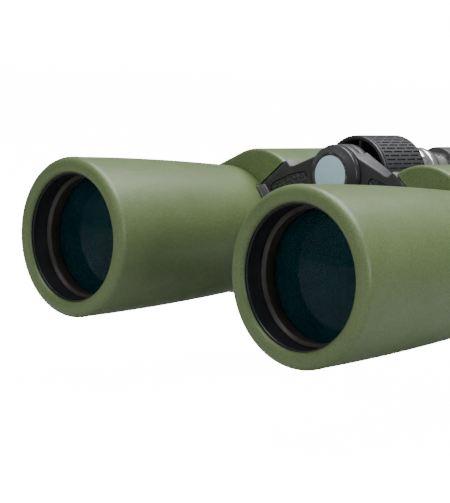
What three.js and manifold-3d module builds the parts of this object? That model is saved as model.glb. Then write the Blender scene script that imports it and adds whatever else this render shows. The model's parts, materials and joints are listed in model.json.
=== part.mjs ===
// Porro-prism binoculars with 50 mm objectives, a central hinge, a centre focus wheel and twist-up eyecups.
// Millimetres. +Z is up, -Y is the way the binoculars look, +X is the user's left.
// Sizes below are taken from the centre of the front hinge cap's face, with the hinge along Y.
// At the end the whole is moved: the origin becomes the middle of the box that holds it, at its underside.
import * as THREE from "three";
import { mergeVertices } from "three/addons/utils/BufferGeometryUtils.js";
import Module from "manifold-3d";

const wasm = await Module();
wasm.setup();

// ---- Driving dimensions ----
const clearance = 0.3; // between pieces that touch or slide
const objectiveSpacing = 126.6; // between the two objective axes
const objectiveDrop = 29.6; // objective axes below the hinge axis
const eyepieceSpacing = 66; // between the two eyepiece axes, as a user sets it

const rimRadius = 33.4; // barrel at its front rim
const barrelLength = 93.8; // from the rim's front to the prism housing
const rimFlat = [28.9, 31.2]; // inner and outer radius of the rim's flat face
const barrelTaper = 0.017; // radius lost per mm behind the rim
const barrelBulge = 0.0004; // and per mm squared
const armourWall = 2.4;
const tubeWall = 2.2;
const hoodRadius = 27; // open bore in front of the lens
const lensRadius = 25.9;
const lensSeatDepth = 16; // lens edge behind the rim's front
const crownEdge = 3.2; // crown lens thickness at its edge
const flintEdge = 5.2;

const housingFrontY = 5.3; // front face of the prism housing
const domeInset = [16.8, 10]; // high shoulder's circle: inwards and up from the objective axis
const domeRadius = 27.6;
const outerRadius = 29.5; // housing radius round the objective axis
const innerRadius = 19.5; // housing radius round the eyepiece axis
const wheelRoom = 2.89; // between the focus wheel and the housing
const casingWall = 2.5;
const prismWidth = 23;
const shelfThickness = 2;
const shelfHoleRadius = 10.2;

const knuckleRadius = 13.2;
const frontArmThickness = 8;
const axleRadius = 5;
const socketRadius = 3.8; // bore through the axle
const capRadius = 13.1;
const capFaceRadius = 9.3;
const inlayRadius = 7.9;
const inlayThickness = 0.8;

const wheelRadius = 17.05;
const wheelLength = 28;
const gripThickness = 1.2;
const wheelRing = 1.6; // thickness of the ring under the grip
const wheelGap = 3.5; // behind the front arms, where the front washer goes
const spokeCount = 4;
const spokeWidth = 1.8;

const bushLength = 5.2; // each rear hinge bush
const bushRadius = 12.7;
const collarLength = 5.5;
const spindleRadius = 9.2;
const spindleShaftRadius = 3.4;
const hubRadius = 11.8;
const hubLength = 5.6; // each arm's ring on the spindle
const bridgeRingLength = 8; // ring of each arm round its eyepiece

const guideRadius = 15.5; // tube on the rear cover that the eyepiece slides in
const guideWall = 1.6;
const guideLength = 14;
const coverThickness = 3.4;
const eyepieceTubeWall = 1.5;
const cellWall = 1.6; // of the cell that holds the eyepiece lenses
const gripWall = 2.7; // of the bridge ring, diopter ring and trim ring
const eyecupLength = 11.5;

const lugSlot = [12, 5]; // strap slot: along Y, and outwards
const lugBar = 3; // material round the slot
const lugThickness = 3.2;

// ---- Places worked out from those ----
const rimFrontY = housingFrontY - barrelLength;
const objectiveX = objectiveSpacing / 2;
const eyepieceX = eyepieceSpacing / 2;
const eyepieceReach = wheelRadius + wheelRoom + innerRadius; // from the hinge axis
const eyepieceDrop = Math.sqrt(eyepieceReach ** 2 - eyepieceX ** 2);
const objectiveAxis = [objectiveX, -objectiveDrop];
const eyepieceAxis = [eyepieceX, -eyepieceDrop];
const domeCentre = [objectiveX - domeInset[0], domeInset[1] - objectiveDrop];
const casingFrontY = housingFrontY + armourWall;
const frontArmRearY = housingFrontY + frontArmThickness;
const wheelFrontY = frontArmRearY + wheelGap;
const wheelRearY = wheelFrontY + wheelLength;
const bushFrontY = wheelRearY + 1.8;
const collarFrontY = bushFrontY + 2 * (bushLength + clearance) + 0.2;
const collarRearY = collarFrontY + collarLength;
const housingRearY = collarFrontY; // the housing covers both hinge bushes
const coverFrontY = housingRearY + clearance;
const guideRearY = coverFrontY + coverThickness + guideLength;
const bridgeFrontY = guideRearY + 1.3;
const bridgeRearY = bridgeFrontY + bridgeRingLength;
const hubFrontY = bridgeFrontY - 2.3;
const ringFrontY = bridgeRearY + clearance;
const ringLength = 5.6;
const eyecupFrontY = ringFrontY + ringLength + 1.6;
const eyecupRearY = eyecupFrontY + eyecupLength;
const eyepieceBarrelRadius = guideRadius - guideWall - clearance;
const cellRadius = eyepieceBarrelRadius - eyepieceTubeWall - clearance;
const ocularRadius = cellRadius - cellWall; // eyepiece lenses
const eyepieceRadius = guideRadius + 0.5;
const ringRadius = eyepieceRadius + clearance + gripWall;
const eyecupRadius = ringRadius;
const eyecupMouth = ringRadius - 6; // radius of the hole for the eye

// ---- Materials ----
const finish = (color, roughness, metalness = 0, opacity = 1) =>
  new THREE.MeshStandardMaterial({ color, roughness, metalness, opacity, transparent: opacity < 1 });
const materials = {
  greenRubber: finish(0x6f8a55, 0.62),
  blackPlastic: finish(0x2a2a2c, 0.5),
  blackRubber: finish(0x303136, 0.7),
  matteBlack: finish(0x141416, 0.8),
  chrome: finish(0xd8d8da, 0.22, 1),
  steel: finish(0x9a9ca0, 0.35, 1),
  paleBlue: finish(0x9cb2bb, 0.5),
  coatedGlass: finish(0x0f3a44, 0.05, 0, 0.5),
  prismGlass: finish(0xdfe9ea, 0.03, 0, 0.4),
};

// ---- Making solids ----
const binoculars = new THREE.Group();

// A closed geometry as a solid for joining and cutting, whichever way its faces point.
function toSolid(geometry) {
  const bare = geometry.index ? geometry.toNonIndexed() : geometry.clone();
  for (const key of Object.keys(bare.attributes)) if (key !== "position") bare.deleteAttribute(key);
  const merged = mergeVertices(bare, 1e-4);
  const index = merged.index.array;
  const build = (swap) => {
    const triangles = [];
    for (let i = 0; i < index.length; i += 3) {
      const [a, b, c] = [index[i], index[i + 1], index[i + 2]];
      if (a === b || b === c || a === c) continue;
      triangles.push(a, swap ? c : b, swap ? b : c);
    }
    return new wasm.Manifold(
      new wasm.Mesh({
        numProp: 3,
        vertProperties: merged.attributes.position.array,
        triVerts: new Uint32Array(triangles),
      }),
    );
  };
  const made = build(false);
  return made.volume() < 0 ? build(true) : made;
}

function addPiece(name, solid, material) {
  const { numProp, vertProperties, triVerts } = solid.getMesh();
  const positions = new Float32Array((vertProperties.length / numProp) * 3);
  for (let i = 0; i * numProp < vertProperties.length; i++)
    positions.set(vertProperties.subarray(i * numProp, i * numProp + 3), i * 3);
  const geometry = new THREE.BufferGeometry()
    .setAttribute("position", new THREE.BufferAttribute(positions, 3))
    .setIndex(new THREE.BufferAttribute(triVerts, 1));
  geometry.computeVertexNormals();
  const mesh = new THREE.Mesh(geometry, material);
  mesh.name = name;
  binoculars.add(mesh);
  return mesh;
}

// A turned solid about the Y direction through [x, z]. profile is [radius, y] points, and closes on itself
// or on the axis.
function turned(profile, [x, z] = [0, 0], segments = 28) {
  const onAxis = profile[0][0] === 0 && profile.at(-1)[0] === 0;
  const loop = onAxis ? profile : [...profile, profile[0]];
  const geometry = new THREE.LatheGeometry(
    loop.map(([r, y]) => new THREE.Vector2(r, y)),
    segments,
  );
  return toSolid(geometry.translate(x, 0, z));
}

const ring = (inner, outer, y0, y1, axis, segments) =>
  turned([[inner, y0], [outer, y0], [outer, y1], [inner, y1]], axis, segments);
const disc = (radius, y0, y1, axis, segments) =>
  turned([[0, y0], [radius, y0], [radius, y1], [0, y1]], axis, segments);

// A solid with an [x, z] outline, from y0 to y1.
function slab(outline, y0, y1) {
  const shape = new THREE.Shape(outline.map(([x, z]) => new THREE.Vector2(x, z)));
  const geometry = new THREE.ExtrudeGeometry(shape, { depth: y1 - y0, bevelEnabled: false });
  return toSolid(geometry.rotateX(Math.PI / 2).translate(0, y1, 0));
}

// A solid through convex outlines of equal point count, each at its own y.
function loft(sections) {
  const count = sections[0].outline.length;
  const positions = sections.flatMap(({ y, outline }) => outline.flatMap(([x, z]) => [x, y, z]));
  const index = [];
  for (let s = 0; s + 1 < sections.length; s++)
    for (let i = 0; i < count; i++) {
      const [a, b] = [s * count + i, s * count + ((i + 1) % count)];
      index.push(a, b, a + count, b, b + count, a + count);
    }
  const last = (sections.length - 1) * count;
  for (let i = 1; i + 1 < count; i++) {
    index.push(0, i + 1, i);
    index.push(last, last + i, last + i + 1);
  }
  const geometry = new THREE.BufferGeometry()
    .setAttribute("position", new THREE.Float32BufferAttribute(positions, 3))
    .setIndex(index);
  return toSolid(geometry);
}

// The outline of the smallest convex shape round some circles, each {centre, radius}.
function hullOutline(circles, grow = 0, count = 40) {
  return Array.from({ length: count }, (_, i) => {
    const angle = (2 * Math.PI * i) / count;
    const [nx, nz] = [Math.cos(angle), Math.sin(angle)];
    const reach = ({ centre, radius }) => centre[0] * nx + centre[1] * nz + radius;
    const { centre, radius } = circles.reduce((best, c) => (reach(c) > reach(best) ? c : best));
    return [centre[0] + (radius + grow) * nx, centre[1] + (radius + grow) * nz];
  });
}

const block = (x0, x1, y0, y1, z0, z1) =>
  slab([[x0, z0], [x1, z0], [x1, z1], [x0, z1]], y0, y1);

// Copies of [x, z] points and places on the other side of the hinge.
const onSide = (side, points) => points.map(([x, z]) => [side * x, z]);
const axisOn = (side, [x, z]) => [side * x, z];

// ---- Shapes that several pieces share ----
const barrelRadius = (y, inset = 0) => {
  const behind = Math.max(0, y - rimFrontY - 5);
  return rimRadius - barrelTaper * behind - barrelBulge * behind * behind - inset;
};
const barrelStations = [0.06, 0.53].map((t) => rimFrontY + t * (housingFrontY - rimFrontY));

const housingCircles = [
  { centre: domeCentre, radius: domeRadius },
  { centre: objectiveAxis, radius: outerRadius },
  { centre: eyepieceAxis, radius: innerRadius },
];
const housingOutline = (side, inset) => onSide(side, hullOutline(housingCircles, -inset));

// Where the light goes between the two prisms: the corner of a right triangle on the line from objective to
// eyepiece.
const middleAxis = [
  (objectiveAxis[0] + eyepieceAxis[0] + (eyepieceAxis[1] - objectiveAxis[1])) / 2,
  (objectiveAxis[1] + eyepieceAxis[1] + (objectiveAxis[0] - eyepieceAxis[0])) / 2,
];
const prismReach = Math.hypot(objectiveAxis[0] - middleAxis[0], objectiveAxis[1] - middleAxis[1]);

// The front arm's outline, from the hinge out to the barrel, as seen from the front.
const armOutline = [
  [0, knuckleRadius - 1.6],
  [8, 10],
  [11.6, 7.8],
  [domeCentre[0] - 19.5, 1.4],
  [domeCentre[0] - 17, 3.9],
  [objectiveX - 20.4, -6.6],
  [objectiveX - 14, -14],
  [objectiveX - 22, -44],
  [objectiveX - 37.3, -36],
  [13, -17.5],
  [2.5, -knuckleRadius + 2.6],
];

// The grained panel let into the front of each arm.
const panelOutline = [
  [17, -1.5],
  [18.6, 0.3],
  [objectiveX - 35.8, -2.2],
  [objectiveX - 26.8, -6.2],
  [objectiveX - 25, -8.6],
  [objectiveX - 32.3, -20.5],
  [objectiveX - 34.8, -23.2],
  [objectiveX - 39.3, -23],
  [17, -14.5],
];
const panelDepth = 1;

// ---- One half's pieces ----
function addArmour(name, side) {
  const axis = axisOn(side, objectiveAxis);
  const barrel = turned(
    [
      [0, rimFrontY + 4],
      [hoodRadius + 0.4, rimFrontY + 1.8],
      [hoodRadius + 0.9, rimFrontY + 0.6],
      [rimFlat[0], rimFrontY],
      [rimFlat[1], rimFrontY],
      [rimRadius - 0.6, rimFrontY + 1.5],
      [rimRadius, rimFrontY + 5],
      ...barrelStations.map((y) => [barrelRadius(y), y]),
      [barrelRadius(housingFrontY + 1), housingFrontY + 1],
      [0, housingFrontY + 1],
    ],
    axis,
    28,
  );
  const housing = loft([
    { y: housingFrontY, outline: housingOutline(side, 1.2) },
    { y: housingFrontY + 0.5, outline: housingOutline(side, 0.4) },
    { y: housingFrontY + 1.6, outline: housingOutline(side, 0) },
    { y: housingRearY - 2.4, outline: housingOutline(side, 0.9) },
    { y: housingRearY - 1.2, outline: housingOutline(side, 1.5) },
  ]);
  const tubeRoom = turned(
    [
      [0, rimFrontY - 1],
      [hoodRadius + clearance, rimFrontY - 1],
      [hoodRadius + clearance, rimFrontY + 2],
      [hoodRadius + 1 + clearance, rimFrontY + 2],
      [hoodRadius + 1 + clearance, rimFrontY + 5],
      [barrelRadius(rimFrontY + 5, armourWall), rimFrontY + 5],
      ...barrelStations.slice(1).map((y) => [barrelRadius(y, armourWall), y]),
      [barrelRadius(casingFrontY + 1, armourWall), casingFrontY + 1],
      [0, casingFrontY + 1],
    ],
    axis,
    28,
  );
  const casingRoom = loft([
    { y: casingFrontY, outline: housingOutline(side, armourWall) },
    { y: housingRearY + 1, outline: housingOutline(side, armourWall) },
  ]);
  const armRoom = slab(
    onSide(side, grownOutline(armOutline, [objectiveX - 39.3, -14], clearance)),
    housingFrontY - 2,
    frontArmRearY + clearance,
  )
    .subtract(turned(
      [[0, housingFrontY - 3], ...[0, 5, 20].map((d) => [
        barrelRadius(housingFrontY - 3 + d), housingFrontY - 3 + d]), [0, housingFrontY + 17]],
      axis,
      28,
    ));
  const rearArmRoom = block(0, side * (eyepieceX - 2), bushFrontY - 1.5, housingRearY + 1, -40, -4);
  addPiece(
    name,
    barrel
      .add(housing)
      .subtract(tubeRoom)
      .subtract(casingRoom)
      .subtract(armRoom)
      .subtract(rearArmRoom)
      .subtract(lugFoot(side, clearance)),
    materials.greenRubber,
  );
}

// An outline pushed outwards from its middle, for the room its piece needs.
function grownOutline(outline, middle, by) {
  return outline.map(([x, z]) => {
    const away = new THREE.Vector2(x - middle[0], z - middle[1]);
    const grown = away.clone().setLength(away.length() + by);
    return [middle[0] + grown.x, middle[1] + grown.y];
  });
}

function addCasing(name, armPanel, side) {
  const inset = armourWall + clearance;
  const axis = axisOn(side, objectiveAxis);
  const shell = loft([
    { y: casingFrontY + clearance, outline: housingOutline(side, inset) },
    { y: housingRearY, outline: housingOutline(side, inset) },
  ]);
  const barrelRoom = turned(
    [[0, housingFrontY - 3], ...[0, 5].map((d) => [
      barrelRadius(housingFrontY - 3 + d, -clearance), housingFrontY - 3 + d]),
      [barrelRadius(housingFrontY, -clearance), casingFrontY + clearance], [0, casingFrontY + clearance]],
    axis,
    28,
  );
  const [from, to] = side > 0 ? [0, 0.5] : [0.5, 1]; // the half of the arm's thickness this knuckle has
  const knuckle = disc(
    knuckleRadius,
    housingFrontY + from * frontArmThickness + (from ? clearance / 2 : 0),
    housingFrontY + to * frontArmThickness - (from ? 0 : clearance / 2),
  );
  const otherKnuckleRoom = disc(
    knuckleRadius + clearance,
    housingFrontY + (from ? -1 : to * frontArmThickness - clearance / 2),
    housingFrontY + (from ? from * frontArmThickness + clearance / 2 : frontArmThickness + 1),
  );
  const arm = slab(onSide(side, armOutline), housingFrontY, frontArmRearY)
    .subtract(barrelRoom)
    .subtract(otherKnuckleRoom)
    .add(knuckle);
  const bushY = bushFrontY + (side > 0 ? 0 : bushLength + clearance);
  const saddle = saddleAt(side, bushY);
  const cavity = loft([
    { y: casingFrontY + clearance + casingWall, outline: housingOutline(side, inset + casingWall) },
    { y: housingRearY + 1, outline: housingOutline(side, inset + casingWall) },
  ]);
  addPiece(
    name,
    shell
      .add(arm)
      .add(saddle)
      .subtract(cavity)
      .subtract(disc(shelfHoleRadius + 12, casingFrontY - 1, casingFrontY + casingWall + 1, axis))
      .subtract(disc(axleRadius + clearance, housingFrontY - 1, frontArmRearY + 1, [0, 0], 24))
      .subtract(slab(
        onSide(side, grownOutline(panelOutline, [objectiveX - 37.3, -11], 0.5)),
        0,
        housingFrontY + panelDepth,
      )),
    materials.blackPlastic,
  );
  const panelFrontY = housingFrontY + 0.2;
  addPiece(
    armPanel,
    slab(onSide(side, panelOutline), panelFrontY, housingFrontY + panelDepth - clearance),
    materials.blackRubber,
  );
}

// The short rear arm, which wraps round its hinge bush on the eyepiece's side of the hinge.
function saddleAt(side, y) {
  const length = Math.hypot(...eyepieceAxis);
  const along = [eyepieceAxis[0] / length, eyepieceAxis[1] / length];
  const point = (far, across) => [along[0] * far - along[1] * across, along[1] * far + along[0] * across];
  const wall = bushRadius + clearance;
  const outline = [point(2, -13), point(length - 16, -11), point(length - 16, 6), point(2, 9)];
  return slab(onSide(side, outline), y, y + bushLength)
    .intersect(disc(length, y - 1, y + bushLength + 1, [0, 0], 40))
    .subtract(disc(wall, y - 2, y + bushLength + 2, [0, 0], 28));
}

function addObjective(prefix, side) {
  const axis = axisOn(side, objectiveAxis);
  const seatY = rimFrontY + lensSeatDepth;
  const lensEndY = seatY + crownEdge + flintEdge + 2 * clearance;
  const inset = armourWall + clearance;
  const tubeRearY = casingFrontY;
  const tube = turned(
    [
      [hoodRadius, rimFrontY + 2.3],
      [hoodRadius + 1, rimFrontY + 2.3],
      [hoodRadius + 1, rimFrontY + 5.3],
      [barrelRadius(rimFrontY + 6, inset), rimFrontY + 5.3],
      ...barrelStations.slice(1).map((y) => [barrelRadius(y, inset), y]),
      [barrelRadius(tubeRearY, inset), tubeRearY],
      [barrelRadius(tubeRearY, inset + tubeWall), tubeRearY],
      [lensRadius - 2.2, lensEndY + 4],
      [lensRadius - 2.2, lensEndY],
      [lensRadius + clearance, lensEndY],
      [lensRadius + clearance, rimFrontY + 11.5],
      [hoodRadius, rimFrontY + 8.5],
    ],
    axis,
    28,
  );
  addPiece(`${prefix}_objective_tube`, tube, materials.matteBlack);
  addPiece(
    `${prefix}_lens_retainer`,
    ring(lensRadius - 1, lensRadius, seatY - 3, seatY - clearance, axis, 32),
    materials.matteBlack,
  );
  const edge = lensRadius - 0.05;
  const crownRear = seatY + crownEdge;
  addPiece(
    `${prefix}_crown_lens`,
    turned(
      [...bulge(edge, seatY, -3.4), [edge, crownRear], ...bulge(edge, crownRear, 2.6).reverse().slice(1)],
      axis,
      28,
    ),
    materials.coatedGlass,
  );
  const flintFront = crownRear + clearance;
  addPiece(
    `${prefix}_flint_lens`,
    turned(
      [
        ...bulge(edge, flintFront, 2.6),
        [edge, flintFront + flintEdge],
        ...bulge(edge, flintFront + flintEdge, -0.8).reverse().slice(1),
      ],
      axis,
      28,
    ),
    materials.prismGlass,
  );
}

// A lens face as [radius, y] points, from the axis out to its edge. The middle stands sag off the edge's y.
function bulge(edge, y, sag, steps = 3) {
  return Array.from({ length: steps + 1 }, (_, i) => {
    const share = i / steps;
    return [edge * share, y + sag * (1 - share * share)];
  });
}

function addPrisms(prefix, side) {
  const middleY = (casingFrontY + clearance + casingWall + housingRearY) / 2;
  const roofCut = 1.6; // ground off the roof edge
  const inside = housingOutline(side, armourWall + casingWall + 2 * clearance);
  const room = slab(inside, casingFrontY + casingWall + 2 * clearance, housingRearY);
  const makePrism = (from, to, faceY, towards) => {
    const direction = new THREE.Vector3(side * (to[0] - from[0]), 0, to[1] - from[1]).normalize();
    const across = new THREE.Vector3(0, 1, 0).cross(direction);
    const half = prismReach;
    const shape = new THREE.Shape([
      new THREE.Vector2(-half, 0),
      new THREE.Vector2(half, 0),
      new THREE.Vector2(roofCut, half - roofCut),
      new THREE.Vector2(-roofCut, half - roofCut),
    ]);
    const centre = new THREE.Vector3((side * (from[0] + to[0])) / 2, faceY, (from[1] + to[1]) / 2);
    const basis = new THREE.Matrix4()
      .makeBasis(direction, new THREE.Vector3(0, towards, 0), across)
      .setPosition(centre);
    const wedge = new THREE.ExtrudeGeometry(shape, { depth: prismWidth, bevelEnabled: false })
      .translate(0, 0, -prismWidth / 2)
      .applyMatrix4(basis);
    const beam = hullOutline([from, to].map((centre) => ({ centre, radius: prismWidth / 2 })), 0, 28);
    return toSolid(wedge).intersect(slab(onSide(side, beam), faceY - 40, faceY + 40)).intersect(room);
  };
  const half = shelfThickness / 2 + clearance;
  addPiece(
    `${prefix}_rear_prism`,
    makePrism(objectiveAxis, middleAxis, middleY + half, 1),
    materials.prismGlass,
  );
  addPiece(
    `${prefix}_front_prism`,
    makePrism(middleAxis, eyepieceAxis, middleY - half, -1),
    materials.prismGlass,
  );
  let shelf = slab(inside, middleY - shelfThickness / 2, middleY + shelfThickness / 2);
  for (const place of [objectiveAxis, middleAxis, eyepieceAxis])
    shelf = shelf.subtract(disc(shelfHoleRadius, middleY - 5, middleY + 5, axisOn(side, place), 24));
  addPiece(`${prefix}_prism_shelf`, shelf, materials.steel);
}

// The two rear cover screws lie between the cover's light hole and its edge.
const screwPlaces = [
  [objectiveX + 15, -objectiveDrop - 8],
  [domeCentre[0] + 6, domeCentre[1] + 20],
];

function addRearCover(prefix, side) {
  const axis = axisOn(side, eyepieceAxis);
  const plateRearY = coverFrontY + coverThickness;
  let cover = loft([
    { y: coverFrontY, outline: housingOutline(side, 0.4) },
    { y: plateRearY - 1, outline: housingOutline(side, 0.6) },
    { y: plateRearY, outline: housingOutline(side, 1.8) },
  ])
    .add(disc(guideRadius + 2, coverFrontY + 1, plateRearY + 1.5, axis))
    .add(disc(guideRadius, coverFrontY + 1, guideRearY, axis))
    .subtract(disc(guideRadius - guideWall, coverFrontY - 1, guideRearY + 1, axis));
  for (const place of screwPlaces)
    cover = cover.subtract(disc(2.6, plateRearY - 1.6, plateRearY + 1, axisOn(side, place), 16));
  addPiece(`${prefix}_rear_cover`, cover, materials.blackPlastic);
  const screwNames = ["lower", "upper"];
  screwPlaces.forEach((place, i) => {
    const head = disc(2.3, plateRearY - 1.3, plateRearY - 0.1, axisOn(side, place), 16);
    const slot = block(
      side * place[0] - 0.35, side * place[0] + 0.35,
      plateRearY - 0.6, plateRearY + 1,
      place[1] - 3, place[1] + 3,
    );
    addPiece(`${prefix}_${screwNames[i]}_screw`, head.subtract(slot), materials.steel);
  });
}

// The strap lug's base on the side of the housing, grown by the room it needs in the armour.
const lugY = housingRearY - 16;
const lugZ = -objectiveDrop + 4;
function lugFoot(side, grow) {
  const inner = objectiveX + outerRadius - armourWall;
  const half = lugSlot[0] / 2 + lugBar + grow;
  const xs = [side * (inner - grow - 3), side * (inner + 8)].sort((a, b) => a - b);
  const halfHeight = lugThickness / 2 + grow;
  return block(...xs, lugY - half, lugY + half, lugZ - halfHeight, lugZ + halfHeight);
}

function addStrapLug(prefix, side) {
  const wall = objectiveX + outerRadius; // the armour's outermost line
  const half = lugSlot[0] / 2 + lugBar;
  const reach = lugSlot[1] + lugBar;
  // Drawn in x and y, then extruded along z.
  const shape = new THREE.Shape([
    new THREE.Vector2(wall - armourWall + 0.6, -half),
    new THREE.Vector2(wall + reach - 2.5, -half),
    new THREE.Vector2(wall + reach, -half + 2.5),
    new THREE.Vector2(wall + reach, half - 2.5),
    new THREE.Vector2(wall + reach - 2.5, half),
    new THREE.Vector2(wall - armourWall + 0.6, half),
  ]);
  const slot = new THREE.Path([
    new THREE.Vector2(wall + 0.4, -lugSlot[0] / 2),
    new THREE.Vector2(wall + lugSlot[1], -lugSlot[0] / 2),
    new THREE.Vector2(wall + lugSlot[1], lugSlot[0] / 2),
    new THREE.Vector2(wall + 0.4, lugSlot[0] / 2),
  ]);
  shape.holes.push(slot);
  const geometry = new THREE.ExtrudeGeometry(shape, { depth: lugThickness, bevelEnabled: false })
    .translate(0, lugY, lugZ - lugThickness / 2)
    .scale(side, 1, 1);
  addPiece(`${prefix}_strap_lug`, toSolid(geometry), materials.blackPlastic);
}

function addEyepiece(prefix, side) {
  const axis = axisOn(side, eyepieceAxis);
  const innerBore = cellRadius + clearance;
  const barrelFrontY = coverFrontY + 3;
  const tailRadius = eyepieceRadius - 2;
  const tube = turned(
    [
      [innerBore, barrelFrontY],
      [eyepieceBarrelRadius, barrelFrontY],
      [eyepieceBarrelRadius, bridgeFrontY + 0.1],
      [eyepieceRadius, bridgeFrontY + 0.1],
      [eyepieceRadius, ringFrontY + ringLength + clearance],
      [tailRadius, ringFrontY + ringLength + clearance],
      [tailRadius, eyecupFrontY + 8.3],
      [innerBore, eyecupFrontY + 8.3],
    ],
    axis,
    28,
  );
  addPiece(`${prefix}_eyepiece_tube`, tube, materials.blackPlastic);

  const cellFrontY = barrelFrontY + 2;
  const cellRearY = eyecupFrontY + 3;
  addPiece(
    `${prefix}_lens_cell`,
    turned(
      [
        [ocularRadius - 0.8, cellFrontY],
        [cellRadius, cellFrontY],
        [cellRadius, cellRearY],
        [ocularRadius - 0.8, cellRearY],
        [ocularRadius - 0.8, cellRearY - 1],
        [ocularRadius + clearance, cellRearY - 1],
        [ocularRadius + clearance, cellFrontY + 1],
        [ocularRadius - 0.8, cellFrontY + 1],
      ],
      axis,
      24,
    ),
    materials.matteBlack,
  );
  const lens = (edgeFront, edgeRear, sagFront, sagRear) =>
    turned(
      [
        ...bulge(ocularRadius, edgeFront, sagFront, 2),
        ...bulge(ocularRadius, edgeRear, sagRear, 2).reverse(),
      ],
      axis,
      24,
    );
  addPiece(
    `${prefix}_field_lens`,
    lens(cellFrontY + 2.4, cellFrontY + 4.2, -1, 2.4),
    materials.prismGlass,
  );
  addPiece(
    `${prefix}_eye_lens`,
    lens(cellRearY - 4.6, cellRearY - 1.4, -2.4, 1),
    materials.coatedGlass,
  );

  const sleeveIn = tailRadius + clearance;
  addPiece(
    `${prefix}_eyecup_sleeve`,
    ring(sleeveIn, sleeveIn + 1, eyecupFrontY, eyecupRearY - 3, axis, 28),
    materials.blackPlastic,
  );
  const cupIn = sleeveIn + 1 + clearance;
  addPiece(
    `${prefix}_eyecup`,
    turned(
      [
        [cupIn, eyecupFrontY + 0.4],
        [eyecupRadius - 0.7, eyecupFrontY + 0.4],
        [eyecupRadius, eyecupRearY - 2.6],
        [eyecupRadius - 1.8, eyecupRearY],
        [eyecupMouth + 1.6, eyecupRearY],
        [eyecupMouth, eyecupRearY - 1.2],
        [eyecupMouth, eyecupRearY - 2.7],
        [cupIn, eyecupRearY - 2.7],
      ],
      axis,
      32,
    ),
    materials.blackRubber,
  );
}

// The bridge arm from the spindle to one eyepiece.
function addBridgeArm(prefix, side) {
  const axis = axisOn(side, eyepieceAxis);
  const hubY = side > 0 ? hubFrontY : hubFrontY + hubLength + clearance;
  const otherHubY = side > 0 ? hubFrontY + hubLength + clearance / 2 : hubFrontY - 5;
  const otherHubEnd = side > 0 ? otherHubY + 20 : hubFrontY + hubLength + clearance / 2;
  const barCircles = [
    { centre: [0, 0], radius: 7 },
    { centre: eyepieceAxis, radius: 10 },
  ];
  const bar = slab(onSide(side, hullOutline(barCircles, 0, 20)), bridgeFrontY + 0.8, bridgeRearY - 0.8)
    .subtract(disc(hubRadius + clearance, otherHubY, otherHubEnd, [0, 0], 28));
  const arm = bar
    .add(disc(hubRadius, hubY, hubY + hubLength, [0, 0], 28))
    .add(disc(ringRadius, bridgeFrontY, bridgeRearY, axis, 28))
    .subtract(disc(eyepieceRadius + clearance, bridgeFrontY - 1, bridgeRearY + 1, axis, 28))
    .subtract(disc(spindleShaftRadius + 0.6 + clearance, hubFrontY - 5, bridgeRearY + 9, [0, 0], 24));
  addPiece(`${prefix}_bridge_arm`, arm, materials.blackPlastic);
}

// ---- The middle of the binoculars ----
function addHinge() {
  addPiece(
    "hinge_cap",
    turned(
      [
        [0, inlayThickness + clearance],
        [inlayRadius + clearance, inlayThickness + clearance],
        [inlayRadius + clearance, 0.3],
        [capFaceRadius - 0.4, 0.3],
        [capFaceRadius, 0.9],
        [capRadius - 0.5, 2.6],
        [capRadius, 3.4],
        [capRadius, housingFrontY - clearance],
        [socketRadius - clearance, housingFrontY - clearance],
        [socketRadius - clearance, housingFrontY + 6],
        [0, housingFrontY + 6],
      ],
      [0, 0],
      28,
    ),
    materials.blackPlastic,
  );
  addPiece("cap_inlay", disc(inlayRadius, 0, inlayThickness, [0, 0], 28), materials.paleBlue);
  addPiece(
    "hinge_axle",
    ring(socketRadius, axleRadius, housingFrontY + clearance, collarFrontY, [0, 0], 24),
    materials.steel,
  );
  addPiece(
    "front_washer",
    ring(axleRadius + clearance, 9, frontArmRearY + clearance, wheelFrontY - clearance, [0, 0], 24),
    materials.steel,
  );
  const bushNames = ["left_hinge_bush", "right_hinge_bush"];
  bushNames.forEach((name, i) => {
    const y = bushFrontY + i * (bushLength + clearance);
    const front = bushRadius - 0.35 * i;
    addPiece(
      name,
      turned(
        [
          [axleRadius + clearance, y],
          [front, y],
          [front - 0.35, y + bushLength],
          [axleRadius + clearance, y + bushLength],
        ],
        [0, 0],
        40,
      ),
      materials.chrome,
    );
  });
  addPiece(
    "hinge_collar",
    ring(spindleRadius + clearance, bushRadius - 1, collarFrontY, collarRearY - 1.6, [0, 0], 28),
    materials.chrome,
  );
  addPiece(
    "collar_seal",
    ring(spindleRadius + clearance, bushRadius - 1.4, collarRearY - 1.3, collarRearY, [0, 0], 28),
    materials.blackRubber,
  );
}

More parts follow.
